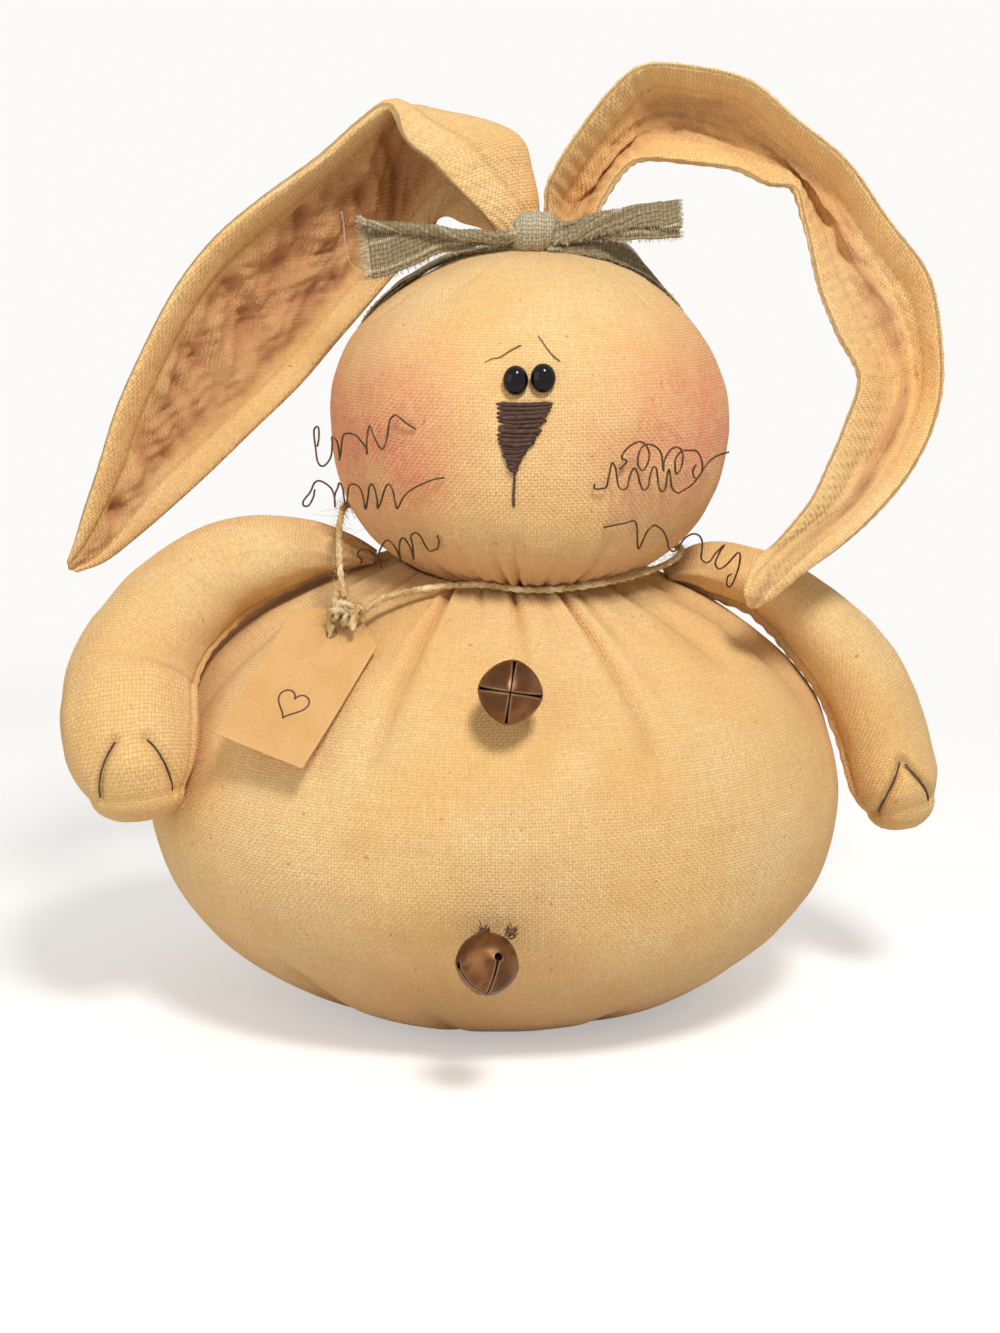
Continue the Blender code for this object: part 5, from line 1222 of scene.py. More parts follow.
def ear_skin(name, seat, route, look):
    """Leaf of cloth between its rims, crushed inside the seams, with stitches along them. One of its
    two layers is a darker lining."""
    surface, length, width = ear_sheet(seat, route)
    across, inside, thick = ear_profile(width, look["seam"] * MM, look["rim"] * MM)
    sheet = surface(across)
    normal = unit(np.cross(np.gradient(sheet, axis=0), np.gradient(sheet, axis=1)))
    along = np.broadcast_to(length[:, None], across.shape)
    side = across * width[:, None] / MM
    belly = np.clip((inside - 0.9) / 0.8, 0, 1)
    grow = np.clip(np.arange(EAR_ROWS) / 30, 0, 1)[:, None] * np.clip(width / (12 * MM), 0, 1)[:, None]
    crush = belly ** 1.5 * grow * np.clip((along - look["start"]) / 25, 0, 1)
    crumple, crushed, lines = ear_crumple(look, along, side)
    wave = grow * 0.3 * swirl(look["seed"] + 3, along / 11, side / 30, waves=1.2)
    sheet = sheet + normal * ((crush * crumple + wave) * MM)[..., None]
    ripple = np.sin(along * 2 * np.pi / 5.2 + 2 * np.sin(along / 13)) * (inside < 1.6)
    half = thick * (1 + (0.04 + 0.05 * look["stripes"]) * ripple) / 2
    rings = both(sheet + normal * half[..., None], sheet - normal * half[..., None])
    clearance = np.clip(np.arange(EAR_ROWS) / EAR_ROWS * 7, 0, 1) * EAR_CLEARANCE
    for row in range(EAR_ROWS * 3 // 4):
        rings[row] = HEAD.push_out(rings[row], SEW_GAP + clearance[row])
    tint = ear_tint(look, along, side, inside, grow, crush, crushed, lines)
    u = both(side, side + EAR_CLOTH_SHIFT)
    u = np.concatenate([u, u[:, :1]], axis=1)
    uv = np.stack(np.broadcast_arrays(u, length[:, None]), axis=-1)
    tip = rings[-1].mean(axis=0) + (rings[-1].mean(axis=0) - rings[-12].mean(axis=0)) * 0.3
    return closed_skin(name + "_muslin", rings, [rings[0].mean(axis=0), tip], uv, tint, MUSLIN_EAR,
                       [name])


MUSLIN_EAR = muslin_finish("muslin_ear", 0.08, wrinkled=1.0)
ear_left = ear_skin("ear_left", EAR_LEFT_SEAT, EAR_LEFT_ROUTE, EAR_LEFT_LOOK)
ear_right = ear_skin("ear_right", EAR_RIGHT_SEAT, EAR_RIGHT_ROUTE, EAR_RIGHT_LOOK)


# Bow: one strip torn from olive homespun, 22 mm wide, folded in half round the head behind the ears
# and knotted in front of them. Torn edges shed pale threads, and a few threads are pulled out of it.
BOW_CLOTH_WIDTH = 22 * MM
BOW_THICKNESS = 0.55 * MM
BOW_FOOT = np.array([1, -12, 0]) * MM
BOW_KNOT_HALF = np.array([6.4, 5.4, 6.1]) * MM
# Tails: x, y and height from the knot's middle and half the tail's visible height, all in mm
BOW_TAIL_LEFT = [(-2, 0, 0, 3.2), (-11, 0.4, -1.0, 3.4), (-21, 0.5, -1.5, 4.2), (-31, 0, -2.5, 5.8),
                 (-41, -0.5, -3.6, 8.4), (-51, -1.5, -4.6, 10.2)]
BOW_TAIL_RIGHT = [(2, 0, 0, 2.8), (12, 0.6, 0.6, 3.6), (22, 1, 1.8, 4.8), (33, 1, 3.0, 5.8),
                  (45, 1, 3.8, 6.2)]
BOW_TAIL_ROWS = 90
BOW_TAIL_COLUMNS = 56
# Middle of the band round the head, as directions from its middle in shares of its half sizes
BOW_BAND_ROUTE = [(-0.02, -0.17, 0.98), (-0.26, -0.08, 0.96), (-0.54, 0.06, 0.84), (-0.78, 0.2, 0.6),
                  (-0.88, 0.42, 0.24), (-0.72, 0.7, 0.02), (-0.36, 0.93, -0.05), (0.06, 1.0, 0.0),
                  (0.5, 0.85, 0.16), (0.78, 0.54, 0.36), (0.76, 0.3, 0.62), (0.54, 0.1, 0.84),
                  (0.28, -0.08, 0.95), (0.06, -0.17, 0.98)]
BOW_BAND_WIDTH = 9 * MM
BOW_BAND_ROWS = 260
BOW_BAND_COLUMNS = 40
BOW_KNOT_ROWS = 90
BOW_KNOT_COLUMNS = 46
HOMESPUN = (0.290, 0.212, 0.102, 1)
HOMESPUN_DARK = (0.100, 0.070, 0.034, 1)
HOMESPUN_PALE = (0.66, 0.58, 0.39, 1)
HOMESPUN_WORN = (0.33, 0.265, 0.155, 1)
FRAY_BROWN = (0.46, 0.37, 0.22, 1)
FRAY_RADIUS = 0.105 * MM
FRAYS_PER_MM = 4.2
HOMESPUN_PITCH_SHARE = 0.72
# Rows across the strip, in mm from its edge, where a thread is gone and the pale cross threads show
BOW_LADDERS = (2.4, 10.6, 19.4)
# Strength of the painted sheen that makes the knot pale
BOW_KNOT_SHEEN = 0.6
# The band stands up from its front edge where it comes out of the knot: most turn in radians on
# the doll's right and left
BOW_BAND_TILT = (0.1, 0.8)


def homespun_finish():
    """Coarse olive homespun: uneven threads with painted shade between them, dotted pale rows at the
    ladders, and a painted sheen that makes the knot pale."""
    homespun = Finish("homespun_sage")
    cloth = homespun.cloth()
    where = homespun.place()
    coarse = homespun.node("Mapping", {"Vector": cloth, "Scale": (HOMESPUN_PITCH_SHARE,) * 3}).outputs[0]
    height, thread = homespun.node("Group", {0: coarse}, node_tree=WEAVE).outputs
    nubs = homespun.noise(cloth, 1.0, 3, (1.6, 0.4, 1))
    # Painted shade between the threads darkens the weave's low places; the other coats are thread tone and
    # pale nubs.
    tone = homespun.coats(
        HOMESPUN, (HOMESPUN_WORN, thread, 0.34, 0.66), (HOMESPUN_DARK, height, 0.0, 0.6, 0.7, 0.0),
        (HOMESPUN_PALE, nubs, 0.6, 0.72, 0, 0.55))
    across = homespun.node("SeparateXYZ", {0: cloth}).outputs
    drift = homespun.calc("MULTIPLY_ADD", homespun.noise(cloth, 0.25, 2), 0.8, across[1])
    dots = homespun.ease(homespun.calc("SINE", homespun.calc("MULTIPLY", across[0], 9.0)), -0.5, 0.3)
    ladders = 0.0
    for row in BOW_LADDERS:
        away = homespun.calc("ABSOLUTE", homespun.calc("SUBTRACT", drift, row + 0.4))
        ladders = homespun.calc("MAXIMUM", ladders, homespun.ease(away, 0.25, 0.5, 1, 0))
    tone = homespun.mix(homespun.calc("MULTIPLY", ladders, dots), tone, HOMESPUN_PALE)
    tone = homespun.coats(tone, (HOMESPUN_DARK, homespun.noise(where, 150, 3), 0.5, 0.8, 0, 0.35))
    # Painted sheen: the knot is made paler near its middle, most on the tops of its threads.
    off = homespun.node("VectorMath", {0: where, 1: tuple(BOW_KNOT)}, operation="DISTANCE").outputs["Value"]
    blush_rub_and_knot_sheen = homespun.calc("MULTIPLY", homespun.ease(off, 6.5 * MM, 10 * MM, BOW_KNOT_SHEEN, 0),
                           homespun.ease(height, 0.2, 0.8, 0.35, 1.2))
    tone = homespun.mix(blush_rub_and_knot_sheen, tone, HOMESPUN_PALE)
    homespun.shade(Base_Color=tone, Roughness=0.95, Specular_IOR_Level=0.15, Sheen_Weight=0.15,
                   Normal=homespun.bump(height, 0.3 * MM))
    return homespun.material


def rolled_section(flat, width, radius, tighten, most, samples):
    """Sections of a strip that stands up flat and then turns towards the viewer: the direction
    turns by one over the radius, up to a most, and rise and reach are its running sums."""
    place = np.linspace(0, 1, samples) * width[:, None]
    step = width[:, None] / (samples - 1)
    rolled = np.clip(place - flat[:, None], 0, None)
    reach = np.maximum(radius[:, None] - tighten * rolled, 0.55 * MM)
    angle = np.minimum(np.cumsum((rolled > 0) * step / reach, axis=1), most)
    return np.cumsum(np.cos(angle) * step, axis=1), np.cumsum(np.sin(angle) * step, axis=1), place


def tail_grid(route, width, radius, tighten, most, seed):
    """A tail: its section carried out from the knot, with pleats near the knot and a soft wave."""
    rows = smooth_rows(route, BOW_TAIL_ROWS) * MM
    centre, half = BOW_KNOT + rows[:, :3], rows[:, 3]
    along = unit(np.gradient(centre, axis=0))
    out = unit(np.array([0, -1.0, 0]) + along * along[:, 1:2])
    up = unit(np.array([0, 0, 1.0]) - along * along[:, 2:3])
    share = np.linspace(0, 1, BOW_TAIL_ROWS)[:, None]
    rise, reach, place = rolled_section(2 * (half - radius), width, radius, tighten, most, BOW_TAIL_COLUMNS)
    pleats = 0.45 * MM * (1 - share) * np.sin(place / MM * 2.6 + 4 * share)
    wave = 0.5 * MM * swirl(seed, share * 3 + 0 * place, place / (9 * MM), waves=1.6)
    rise = rise - half[:, None] + 0.25 * MM * swirl(seed + 1, share * 9, waves=1.5)
    reach = reach + pleats + wave
    grid = centre[:, None] + up[:, None] * rise[..., None] + out[:, None] * reach[..., None]
    return grid, np.stack(np.broadcast_arrays(run_of(centre)[:, None] / MM, place / MM), axis=-1)


def band_grid():
    """The band: folded in half round the head, its fold uppermost and its open edges below."""
    count = BOW_BAND_ROWS
    path = HEAD.toward(smooth_rows(BOW_BAND_ROUTE, count))
    path = even_route(path, count)
    path = HEAD.toward((path - HEAD_CENTRE) / HEAD_HALF)
    out = HEAD.normal(path)
    along = unit(np.gradient(path, axis=0))
    wide = np.cross(out, along)
    wide = wide * np.where(wide[:, 2:3] + 0.4 * wide[:, 1:2] < 0, -1, 1)
    ends = np.clip(np.minimum(np.arange(count), count - 1 - np.arange(count)) / 22, 0, 1)
    half = (0.62 + 0.38 * ends) * BOW_BAND_WIDTH / 2
    radius = np.full(count, 0.42 * MM)
    width = half * 4 + np.pi * radius
    rise, reach, place = rolled_section(2 * half, width, radius, 0, np.pi, BOW_BAND_COLUMNS)
    share = np.linspace(0, 1, count)[:, None]
    pleats = 0.28 * MM * np.sin(place / MM * 1.9 + 9 * share)
    pleats = pleats + 0.3 * MM * swirl(83, share * 16, place / (8 * MM))
    lift = reach + np.clip(pleats, -0.3 * MM, None) + 0.4 * MM
    tilt = np.where(path[:, 0] < BOW_KNOT[0], *BOW_BAND_TILT) * np.clip((out[:, 2] - 0.78) / 0.17, 0, 1)
    cos, sin = np.cos(tilt)[:, None], np.sin(tilt)[:, None]
    level = rise * cos - lift * sin - half[:, None]
    stand = rise * sin + lift * cos
    grid = path[:, None] + wide[:, None] * level[..., None] + out[:, None] * stand[..., None]
    length = np.linspace(0, run_of(path)[-1], count)[:, None]
    grid = HEAD.push_out(grid, SEW_GAP + BOW_THICKNESS / 2)
    return grid, np.stack(np.broadcast_arrays(length / MM, place / MM), axis=-1)


def knot_grid():
    """The knot: one turn of the strip over the front and under, bulging in the middle and pleated."""
    turn = np.linspace(-0.2, 2 * np.pi + 0.15, BOW_KNOT_ROWS)[:, None]
    across = np.linspace(-1, 1, BOW_KNOT_COLUMNS)
    bulge = 1 - 0.16 * across ** 2 - 0.20 * across ** 6
    pleats = 0.05 * np.sin(across * 9 + 1.6 * np.sin(turn)) + 0.035 * np.sin(across * 21 + 3 * turn)
    size = bulge + pleats + 0.03 * np.sin(3 * turn)
    side = across * (0.92 + 0.06 * np.sin(2 * turn)) + 0.1 * np.sin(turn)
    share = np.stack([side, -np.cos(turn) * size, np.sin(turn) * size], axis=-1)
    length = np.broadcast_to(turn * 6, side.shape)
    return BOW_KNOT + share * BOW_KNOT_HALF, np.stack([length, side * 11 + 11], axis=-1)


def strip_piece(name, grids, material, replaced):
    """Open grids joined in one piece, each with its cloth coordinates along and across in mm."""
    points, faces, corners, first = [], [], [], 0
    for grid, uv in grids:
        number = first + np.arange(grid.shape[0] * grid.shape[1]).reshape(grid.shape[:2])
        faces.append(cells(number[None]).reshape(-1, 4))
        corners.append(cells(uv[None]).reshape(-1, 2))
        points.append(grid.reshape(-1, 3))
        first += grid.shape[0] * grid.shape[1]
    piece = add_piece(name, np.concatenate(points), np.concatenate(faces).tolist(), material,
                      np.concatenate(corners), replaced=replaced)
    wall = piece.modifiers.new("wall", "SOLIDIFY")
    wall.thickness = BOW_THICKNESS
    wall.offset = 0
    return piece


def frays(seed, edge, inner, length, per_mm, spread=1.0, curl=0.35):
    """Loose threads along a torn edge: they start inside the cloth and point away from it."""
    random = np.random.default_rng(seed)
    total = run_of(edge)[-1] / MM
    place = random.uniform(0, len(edge) - 1.001, int(total * per_mm))
    low = place.astype(int)
    roots = edge[low] + (edge[low + 1] - edge[low]) * (place - low)[:, None]
    away = unit(edge[low] - inner[low])
    return hairs(seed + 1, roots - away * 0.3 * MM, away / spread, length, curl * length, 5)


BOW_KNOT = HEAD.toward((CROWN + BOW_FOOT - HEAD_CENTRE) / HEAD_HALF) + (0, 0, BOW_KNOT_HALF[2] + SEW_GAP)
tail_left = tail_grid(BOW_TAIL_LEFT, width=np.full(BOW_TAIL_ROWS, BOW_CLOTH_WIDTH),
                      radius=np.linspace(2.4, 1.9, BOW_TAIL_ROWS) * MM, tighten=0.085, most=5 * np.pi,
                      seed=81)
tail_right = tail_grid(BOW_TAIL_RIGHT, width=np.linspace(11, 20.5, BOW_TAIL_ROWS) * MM,
                       radius=np.full(BOW_TAIL_ROWS, 0.75 * MM), tighten=0.0, most=np.pi, seed=91)
bow_band = band_grid()
bow_knot = knot_grid()
bow = strip_piece("homespun_bow", [tail_left, tail_right, bow_band, bow_knot], homespun_finish(),
                  ["hair_tie"])

# Frays: shorter ones along both long edges of each grid, longer and straighter ones at the tails' ends.
fray_paths = []
for seed, (grid, _), longest in ((101, tail_left, 2.0), (105, tail_right, 1.7), (109, bow_band, 1.2),
                                 (113, bow_knot, 2.0)):
    fray_paths.append(frays(seed, grid[:, 0], grid[:, 3], longest * MM, FRAYS_PER_MM))
    fray_paths.append(frays(seed + 2, grid[:, -1], grid[:, -4], longest * MM, FRAYS_PER_MM))
for seed, (grid, _), longest, per_mm, curl in ((121, tail_left, 4.4, 10, 0.14),
                                               (123, tail_right, 1.8, 9, 0.18)):
    fray_paths.append(frays(seed, grid[-1], grid[-4], longest * MM, per_mm, 0.35, curl))
fray_paths = HEAD.push_out(np.concatenate(fray_paths), 0.15 * MM)
fray_finish = Finish("homespun_threads")
fray_noise = fray_finish.noise(fray_finish.place(), 500, 2)
fray_finish.shade(Base_Color=fray_finish.coats(FRAY_BROWN, (HOMESPUN_PALE, fray_noise, 0.38, 0.6)),
                  Roughness=0.9)
bow_frays = tubes("homespun_frays", fray_paths, FRAY_RADIUS, 3, (0.3, 0.5, 0.8), fray_finish.material,
                  "homespun_sage")

# One long thread hangs loose from the left end of the bow.
LOOSE_THREAD = [(-50, -3, -12), (-53.5, -3, -12.5), (-57, -3.2, -9), (-58.3, -3.5, -3), (-58.6, -3.5, 2),
                (-59.2, -3.4, 6)]
loose = BOW_KNOT + even_route(np.array(LOOSE_THREAD, float), 40) * MM
bow_loose = tubes("homespun_loose_thread", loose[None], 0.13 * MM, 6, (0.1, 1, 0.2), fray_finish.material,
                  "homespun_sage")


# Eyes: two black glass beads with a wire shank, sewn close together above the nose. Each is domed in
# front and flatter where it sits on the cloth.
EYES = {"eye_left": (-4.8, 16.4), "eye_right": (3.0, 17.0)}
EYE_HALF = np.array([3.7, 3.0, 4.3]) * MM
EYE_BACK_SHARE = 0.35
EYE_STAND_OFF = 0.45 * MM
EYE_ROWS = 40
EYE_SIDES = 72
BEAD_BLACK = (0.005, 0.004, 0.004, 1)
BEAD_DUST = (0.03, 0.025, 0.022, 1)


def bead_finish():
    """Polished black glass with the faintest bloom of dust."""
    bead = Finish("glass_bead")
    dust = bead.noise(bead.place(), 900, 3)
    tone = bead.coats(BEAD_BLACK, (BEAD_DUST, dust, 0.55, 0.8, 0, 0.25))
    bead.shade(Base_Color=tone, Roughness=bead.ease(dust, 0.4, 0.75, 0.06, 0.14), Specular_IOR_Level=0.2)
    return bead.material


def eye_bead(name, place, material):
    """An ellipsoid, where the half that faces the cloth is flattened."""
    seat = HEAD.front(np.array(place[0] * MM), np.array(place[1] * MM))
    centre = seat + HEAD.normal(seat) * (EYE_HALF[1] * EYE_BACK_SHARE + SEW_GAP + EYE_STAND_OFF)
    angle, bearing = np.meshgrid(np.linspace(-np.pi / 2, np.pi / 2, EYE_ROWS)[1:-1],
                                 np.arange(EYE_SIDES) * 2 * np.pi / EYE_SIDES, indexing="ij")
    y = np.cos(angle) * np.sin(bearing)
    y = np.where(y > 0, y * EYE_BACK_SHARE, y)
    share = np.stack([np.cos(angle) * np.cos(bearing), y, np.sin(angle)], -1)
    rings = centre + share * EYE_HALF
    ends = [centre - (0, 0, EYE_HALF[2]), centre + (0, 0, EYE_HALF[2])]
    uv = np.zeros((EYE_ROWS - 2, EYE_SIDES + 1, 2))
    return closed_skin(name + "_bead", rings, ends, uv, np.zeros(rings.shape), material,
                       [name])


bead_black = bead_finish()
for eye_name, eye_place in EYES.items():
    eye_bead(eye_name, eye_place, bead_black)


# Nose: seventeen rows of plum floss in satin stitch, laid side by side from edge to edge of a narrow
# triangle, so the rows stand up in the middle and dive into the cloth at both ends.
NOSE_ROWS = [(10.2, -10.4, 5.9), (7.0, -10.2, 4.6), (3.5, -10.0, 2.8), (0.0, -9.8, 0.8),
             (-3.0, -9.0, -1.0), (-6.0, -7.8, -3.2), (-8.8, -6.4, -4.9)]
NOSE_STRANDS = 17
NOSE_STATIONS = 36
NOSE_RISE = 0.75 * MM
FLOSS_RADIUS = 0.74 * MM
FLOSS_SIDES = 12
FLOSS_PLIES = 5
FLOSS_TWIST = 2 * np.pi / (5 * MM)
FLOSS_PLUM = (0.046, 0.021, 0.016, 1)
FLOSS_SHINE = (0.150, 0.082, 0.062, 1)
FLOSS_WORN = (0.30, 0.21, 0.16, 1)


def satin_rows():
    """Each strand runs level between the triangle's edges, a little slanted, and its height over the
    cloth follows a half sine to the power of 0.4, so it is level in the middle and steep at its ends."""
    random = np.random.default_rng(71)
    height, left, right = smooth_rows(NOSE_ROWS, NOSE_STRANDS).T * MM
    left = left + random.normal(0, 0.22, NOSE_STRANDS) * MM
    right = right + random.normal(0, 0.28, NOSE_STRANDS) * MM
    share = np.linspace(0, 1, NOSE_STATIONS)
    x = left[:, None] + (right - left)[:, None] * share
    slant = random.normal(0.14, 0.24, NOSE_STRANDS)[:, None] * MM
    z = height[:, None] + slant * (share * 2 - 1) - 0.35 * MM * np.sin(np.pi * share)
    points = HEAD.front(x, z)
    arch = np.sin(np.pi * share) ** 0.4
    lift = SEW_GAP * 0.4 + NOSE_RISE * arch * random.uniform(0.7, 1.25, (NOSE_STRANDS, 1))
    return points + HEAD.normal(points) * lift[..., None]


def floss_radius(paths):
    """Thick loosely twisted floss: fuller over each of its plies, and thin at its two ends."""
    length = run_of(paths)[..., None]
    turn = np.arange(FLOSS_SIDES) * 2 * np.pi / FLOSS_SIDES
    share = length / length[:, -1:]
    ends = np.clip(np.minimum(share, 1 - share) * 9, 0.35, 1) ** 0.5
    thick = np.random.default_rng(73).uniform(0.84, 1.14, (len(paths), 1, 1))
    plies = 0.93 + 0.07 * np.cos(FLOSS_PLIES * (turn - length * FLOSS_TWIST / 3))
    return FLOSS_RADIUS * thick * ends * plies


def floss_finish():
    """Cotton floss: fine filaments along each strand that catch the light."""
    floss = Finish("floss_plum")
    threads = floss.noise(floss.cloth(), 1.0, 3, (0.5, 22, 1))
    worn = floss.noise(floss.place(), 420, 3)
    tone = floss.coats(FLOSS_PLUM, (FLOSS_SHINE, threads, 0.38, 0.66),
                       (FLOSS_WORN, worn, 0.6, 0.8, 0, 0.35))
    floss.shade(Base_Color=tone, Roughness=0.6, Normal=floss.bump(threads, 0.12 * MM),
                Specular_IOR_Level=0.15)
    return floss.material


nose_paths = satin_rows()
tubes("nose_floss", nose_paths, floss_radius(nose_paths), FLOSS_SIDES, (0, 0, 1), floss_finish(), "floss",
      ["nose_stitches"])


# Mouth and brows: single threads, each one long stitch or two pulled down onto the face.
FACE_THREADS = {  # name: (radius in mm, depth in the cloth in mm, points x and z from the head's centre)
    "mouth_stitch": (0.42, 0.15, [(-5.2, -10.0), (-5.3, -13.5), (-5.5, -17.0), (-5.4, -20.4)]),
    "brow_left": (0.2, -0.35, [(-14.8, 21.1), (-12.0, 22.6), (-9.5, 23.2), (-6.2, 25.2), (-3.0, 26.9)]),
    "brow_right": (0.2, -0.2, [(1.4, 29.7), (3.2, 27.3), (4.6, 25.4), (6.4, 23.4), (8.4, 22.0)])}
FACE_STATIONS = 60
FACE_TWIST = 2 * np.pi / (1.8 * MM)
THREAD_BROWN = (0.16, 0.08, 0.035, 1)
THREAD_BROWN_PALE = (0.30, 0.17, 0.08, 1)


def face_path(route, lift):
    """Points along the face at a height over the cloth; the two ends dive into it."""
    x, z = np.array(route).T * MM
    flat = even_route(np.stack([x, 0 * x, z], axis=-1), FACE_STATIONS)
    points = HEAD.front(flat[:, 0], flat[:, 2])
    share = np.linspace(0, 1, FACE_STATIONS)
    dive = np.clip(np.minimum(share, 1 - share) * 12, 0, 1)
    return points + HEAD.normal(points) * (lift * dive - 0.3 * MM * (1 - dive))[:, None]


brown_thread = thread_finish("brown_thread", THREAD_BROWN, THREAD_BROWN_PALE)
for thread_name, (thread_radius, sunk, thread_route) in FACE_THREADS.items():
    thread_path = face_path(thread_route, (thread_radius - sunk) * MM)[None]
    dark = thread_name == "mouth_stitch"
    looks = (dark_thread, "thread_dark") if dark else (brown_thread, "thread_brown")
    plied(thread_name + "_thread", thread_path, thread_radius * MM, THREAD_SIDES, FACE_TWIST, (0, 1, 0.1),
          *looks, [thread_name])


# Whiskers: six crimped lengths of rusty iron wire, poked into the cheeks, each bent by hand into
# its own scrawl. They stand off the cheeks and throw thin shadows down on them.
WHISKER_RADIUS = 0.3 * MM
WHISKER_STATIONS = 300
WHISKER_LIFT_SHARE = 0.25
WHISKER_EDGE_SHARE = 0.86
WHISKERS = {  # place: (mm off the cheek, bends x and z in mm from the head's centre, root first)
    "left_upper": (6, [
        (-34.5, 2), (-37, 3.5), (-39, 5), (-40.5, 6), (-41.5, 5.5), (-42.5, 4), (-43, 0.5), (-43.5, -2),
        (-44.5, -4), (-45.5, -3.5), (-46.5, -2), (-47.5, 0), (-48.5, 2.5), (-49, 1.5), (-49.5, -2),
        (-49.5, -6), (-50, -4), (-51.5, -2.5), (-53, -1), (-55.5, -0.5), (-57, -1), (-57.5, -3),
        (-58, -6.5), (-58.5, -9), (-58.5, -6.5), (-59, -3), (-60.5, -1.5), (-60.5, -3.5), (-61, -7.5),
        (-62.5, -10), (-64, -10.5), (-65, -9), (-65.5, -5.5), (-66, -2), (-66, 0.5), (-65, 1.5),
        (-64.5, 0.5), (-64.5, -2), (-65, -4.5)]),
    "left_middle": (8, [
        (-26, -12), (-29, -12.5), (-32.5, -14), (-36, -16), (-38.5, -18.5), (-39.5, -20.5), (-40.5, -22),
        (-41, -19.5), (-41.5, -16.5), (-42.5, -14.5), (-43.5, -15), (-44.5, -17.5), (-45.5, -20.5),
        (-46.5, -22.5), (-46.5, -20), (-47, -17), (-48, -15), (-49, -16), (-49.5, -19), (-50.5, -23.5),
        (-51, -20), (-52, -17), (-54, -16), (-55.5, -16.5), (-56, -19), (-56.5, -23), (-57, -20.5),
        (-57.5, -17), (-58.5, -15.5), (-59, -17), (-60, -19.5), (-60, -23), (-60, -20), (-61, -17),
        (-64, -15), (-66, -15.5), (-67.5, -18.5), (-69.5, -21), (-69.5, -22.5), (-68, -22.5),
        (-66.5, -20), (-66, -17.5)]),
    "left_lower": (7, [
        (-28.5, -30.5), (-28, -32.5), (-28.5, -35), (-29.5, -35.5), (-30.5, -36), (-31.5, -35.5),
        (-32.5, -33), (-33.5, -30.5), (-35, -29.5), (-36.5, -31), (-36, -34), (-36, -39), (-36.5, -36),
        (-38, -32.5), (-39, -31.5), (-40, -33), (-40.5, -37.5), (-40.5, -41.5), (-41, -37.5), (-42, -35),
        (-44, -33.5), (-45.5, -35), (-47, -38), (-47, -40.5), (-46.5, -43), (-47.5, -40), (-49, -38.5),
        (-50.5, -37), (-52.5, -37), (-53.5, -38), (-53.5, -39.5), (-52.5, -40.5), (-53, -42)]),
    "right_upper": (4.5, [
        (18.5, -13.5), (18.5, -15), (20.5, -15), (22, -14.5), (22.5, -12), (23, -9), (23.5, -7),
        (24.5, -8.5), (25, -11.5), (25.5, -14), (26.5, -15), (28, -14.5), (28.5, -12), (29.5, -9.5),
        (30.5, -9), (31.5, -11.5), (32, -13.5), (33, -15.5), (34.5, -14.5), (35, -11.5), (36, -9),
        (37, -9.5), (37.5, -12.5), (38, -15.5), (39, -16.5), (40, -15.5), (40.5, -12), (41, -10),
        (41.5, -12), (42, -15.5), (44, -17.5), (46, -17), (48.5, -16), (50.5, -14), (52.5, -11),
        (54.5, -9), (57, -7.5), (60.5, -6.5)]),
    "right_middle": (8.5, [
        (26, -9.5), (28, -7), (26.5, -6), (27, -4), (29, -2), (31.5, -1), (33.5, -2), (34.5, -4.5),
        (34, -7), (32.5, -9), (31, -7.5), (31, -5), (32, -2.5), (34, -1.5), (36.5, -2.5), (38, -4.5),
        (38.5, -7.5), (39, -10), (39, -7), (40.5, -4), (42, -3), (44, -3.5), (45, -6), (44.5, -9.5),
        (43, -11), (42.5, -9.5), (42.5, -6.5), (44.5, -4.5), (47, -4.5), (49.5, -5), (51, -7.5),
        (51.5, -10.5), (50.5, -13), (49, -13), (48.5, -10.5), (49.5, -9)]),
    "right_lower": (7, [
        (21.5, -27.5), (23.5, -27), (26, -26.5), (28.5, -26), (30.5, -25.5), (31.5, -26.5), (32, -30.5),
        (32.5, -35), (33.5, -32.5), (34.5, -29), (36.5, -27), (38, -27.5), (40, -29.5), (41.5, -32.5),
        (42.5, -36), (44, -37.5), (45.5, -36.5), (47.5, -33.5), (50, -32), (52, -32.5), (53, -34.5),
        (53, -37.5), (53, -40), (54.5, -41.5), (56, -41), (57.5, -38.5), (60, -35.5), (58.5, -38),
        (57.5, -41.5), (58.5, -43.5), (60, -43.5), (62, -41.5), (64, -38.5), (65, -38.5), (65, -42),
        (64.5, -46), (64, -49.5), (63, -51), (62, -49), (62, -46.5), (63, -45.5)])}
RUSTY_WIRE = (0.075, 0.036, 0.018, 1)
WIRE_RUST = (0.20, 0.090, 0.036, 1)
WIRE_SCALE = (0.03, 0.016, 0.010, 1)


def wire_finish():
    """Annealed iron wire gone brown: rust in patches over dark scale."""
    wire = Finish("rusty_wire")
    patches = wire.noise(wire.place(), 380, 4)
    grit = wire.noise(wire.place(), 2600, 2)
    tone = wire.coats(RUSTY_WIRE, (WIRE_RUST, patches, 0.42, 0.66), (WIRE_SCALE, grit, 0.5, 0.75, 0, 0.5))
    wire.shade(Base_Color=tone, Specular_IOR_Level=0.2, Roughness=wire.ease(patches, 0.3, 0.7, 0.42, 0.75),
               Normal=wire.bump(grit, 0.03 * MM))
    return wire.material


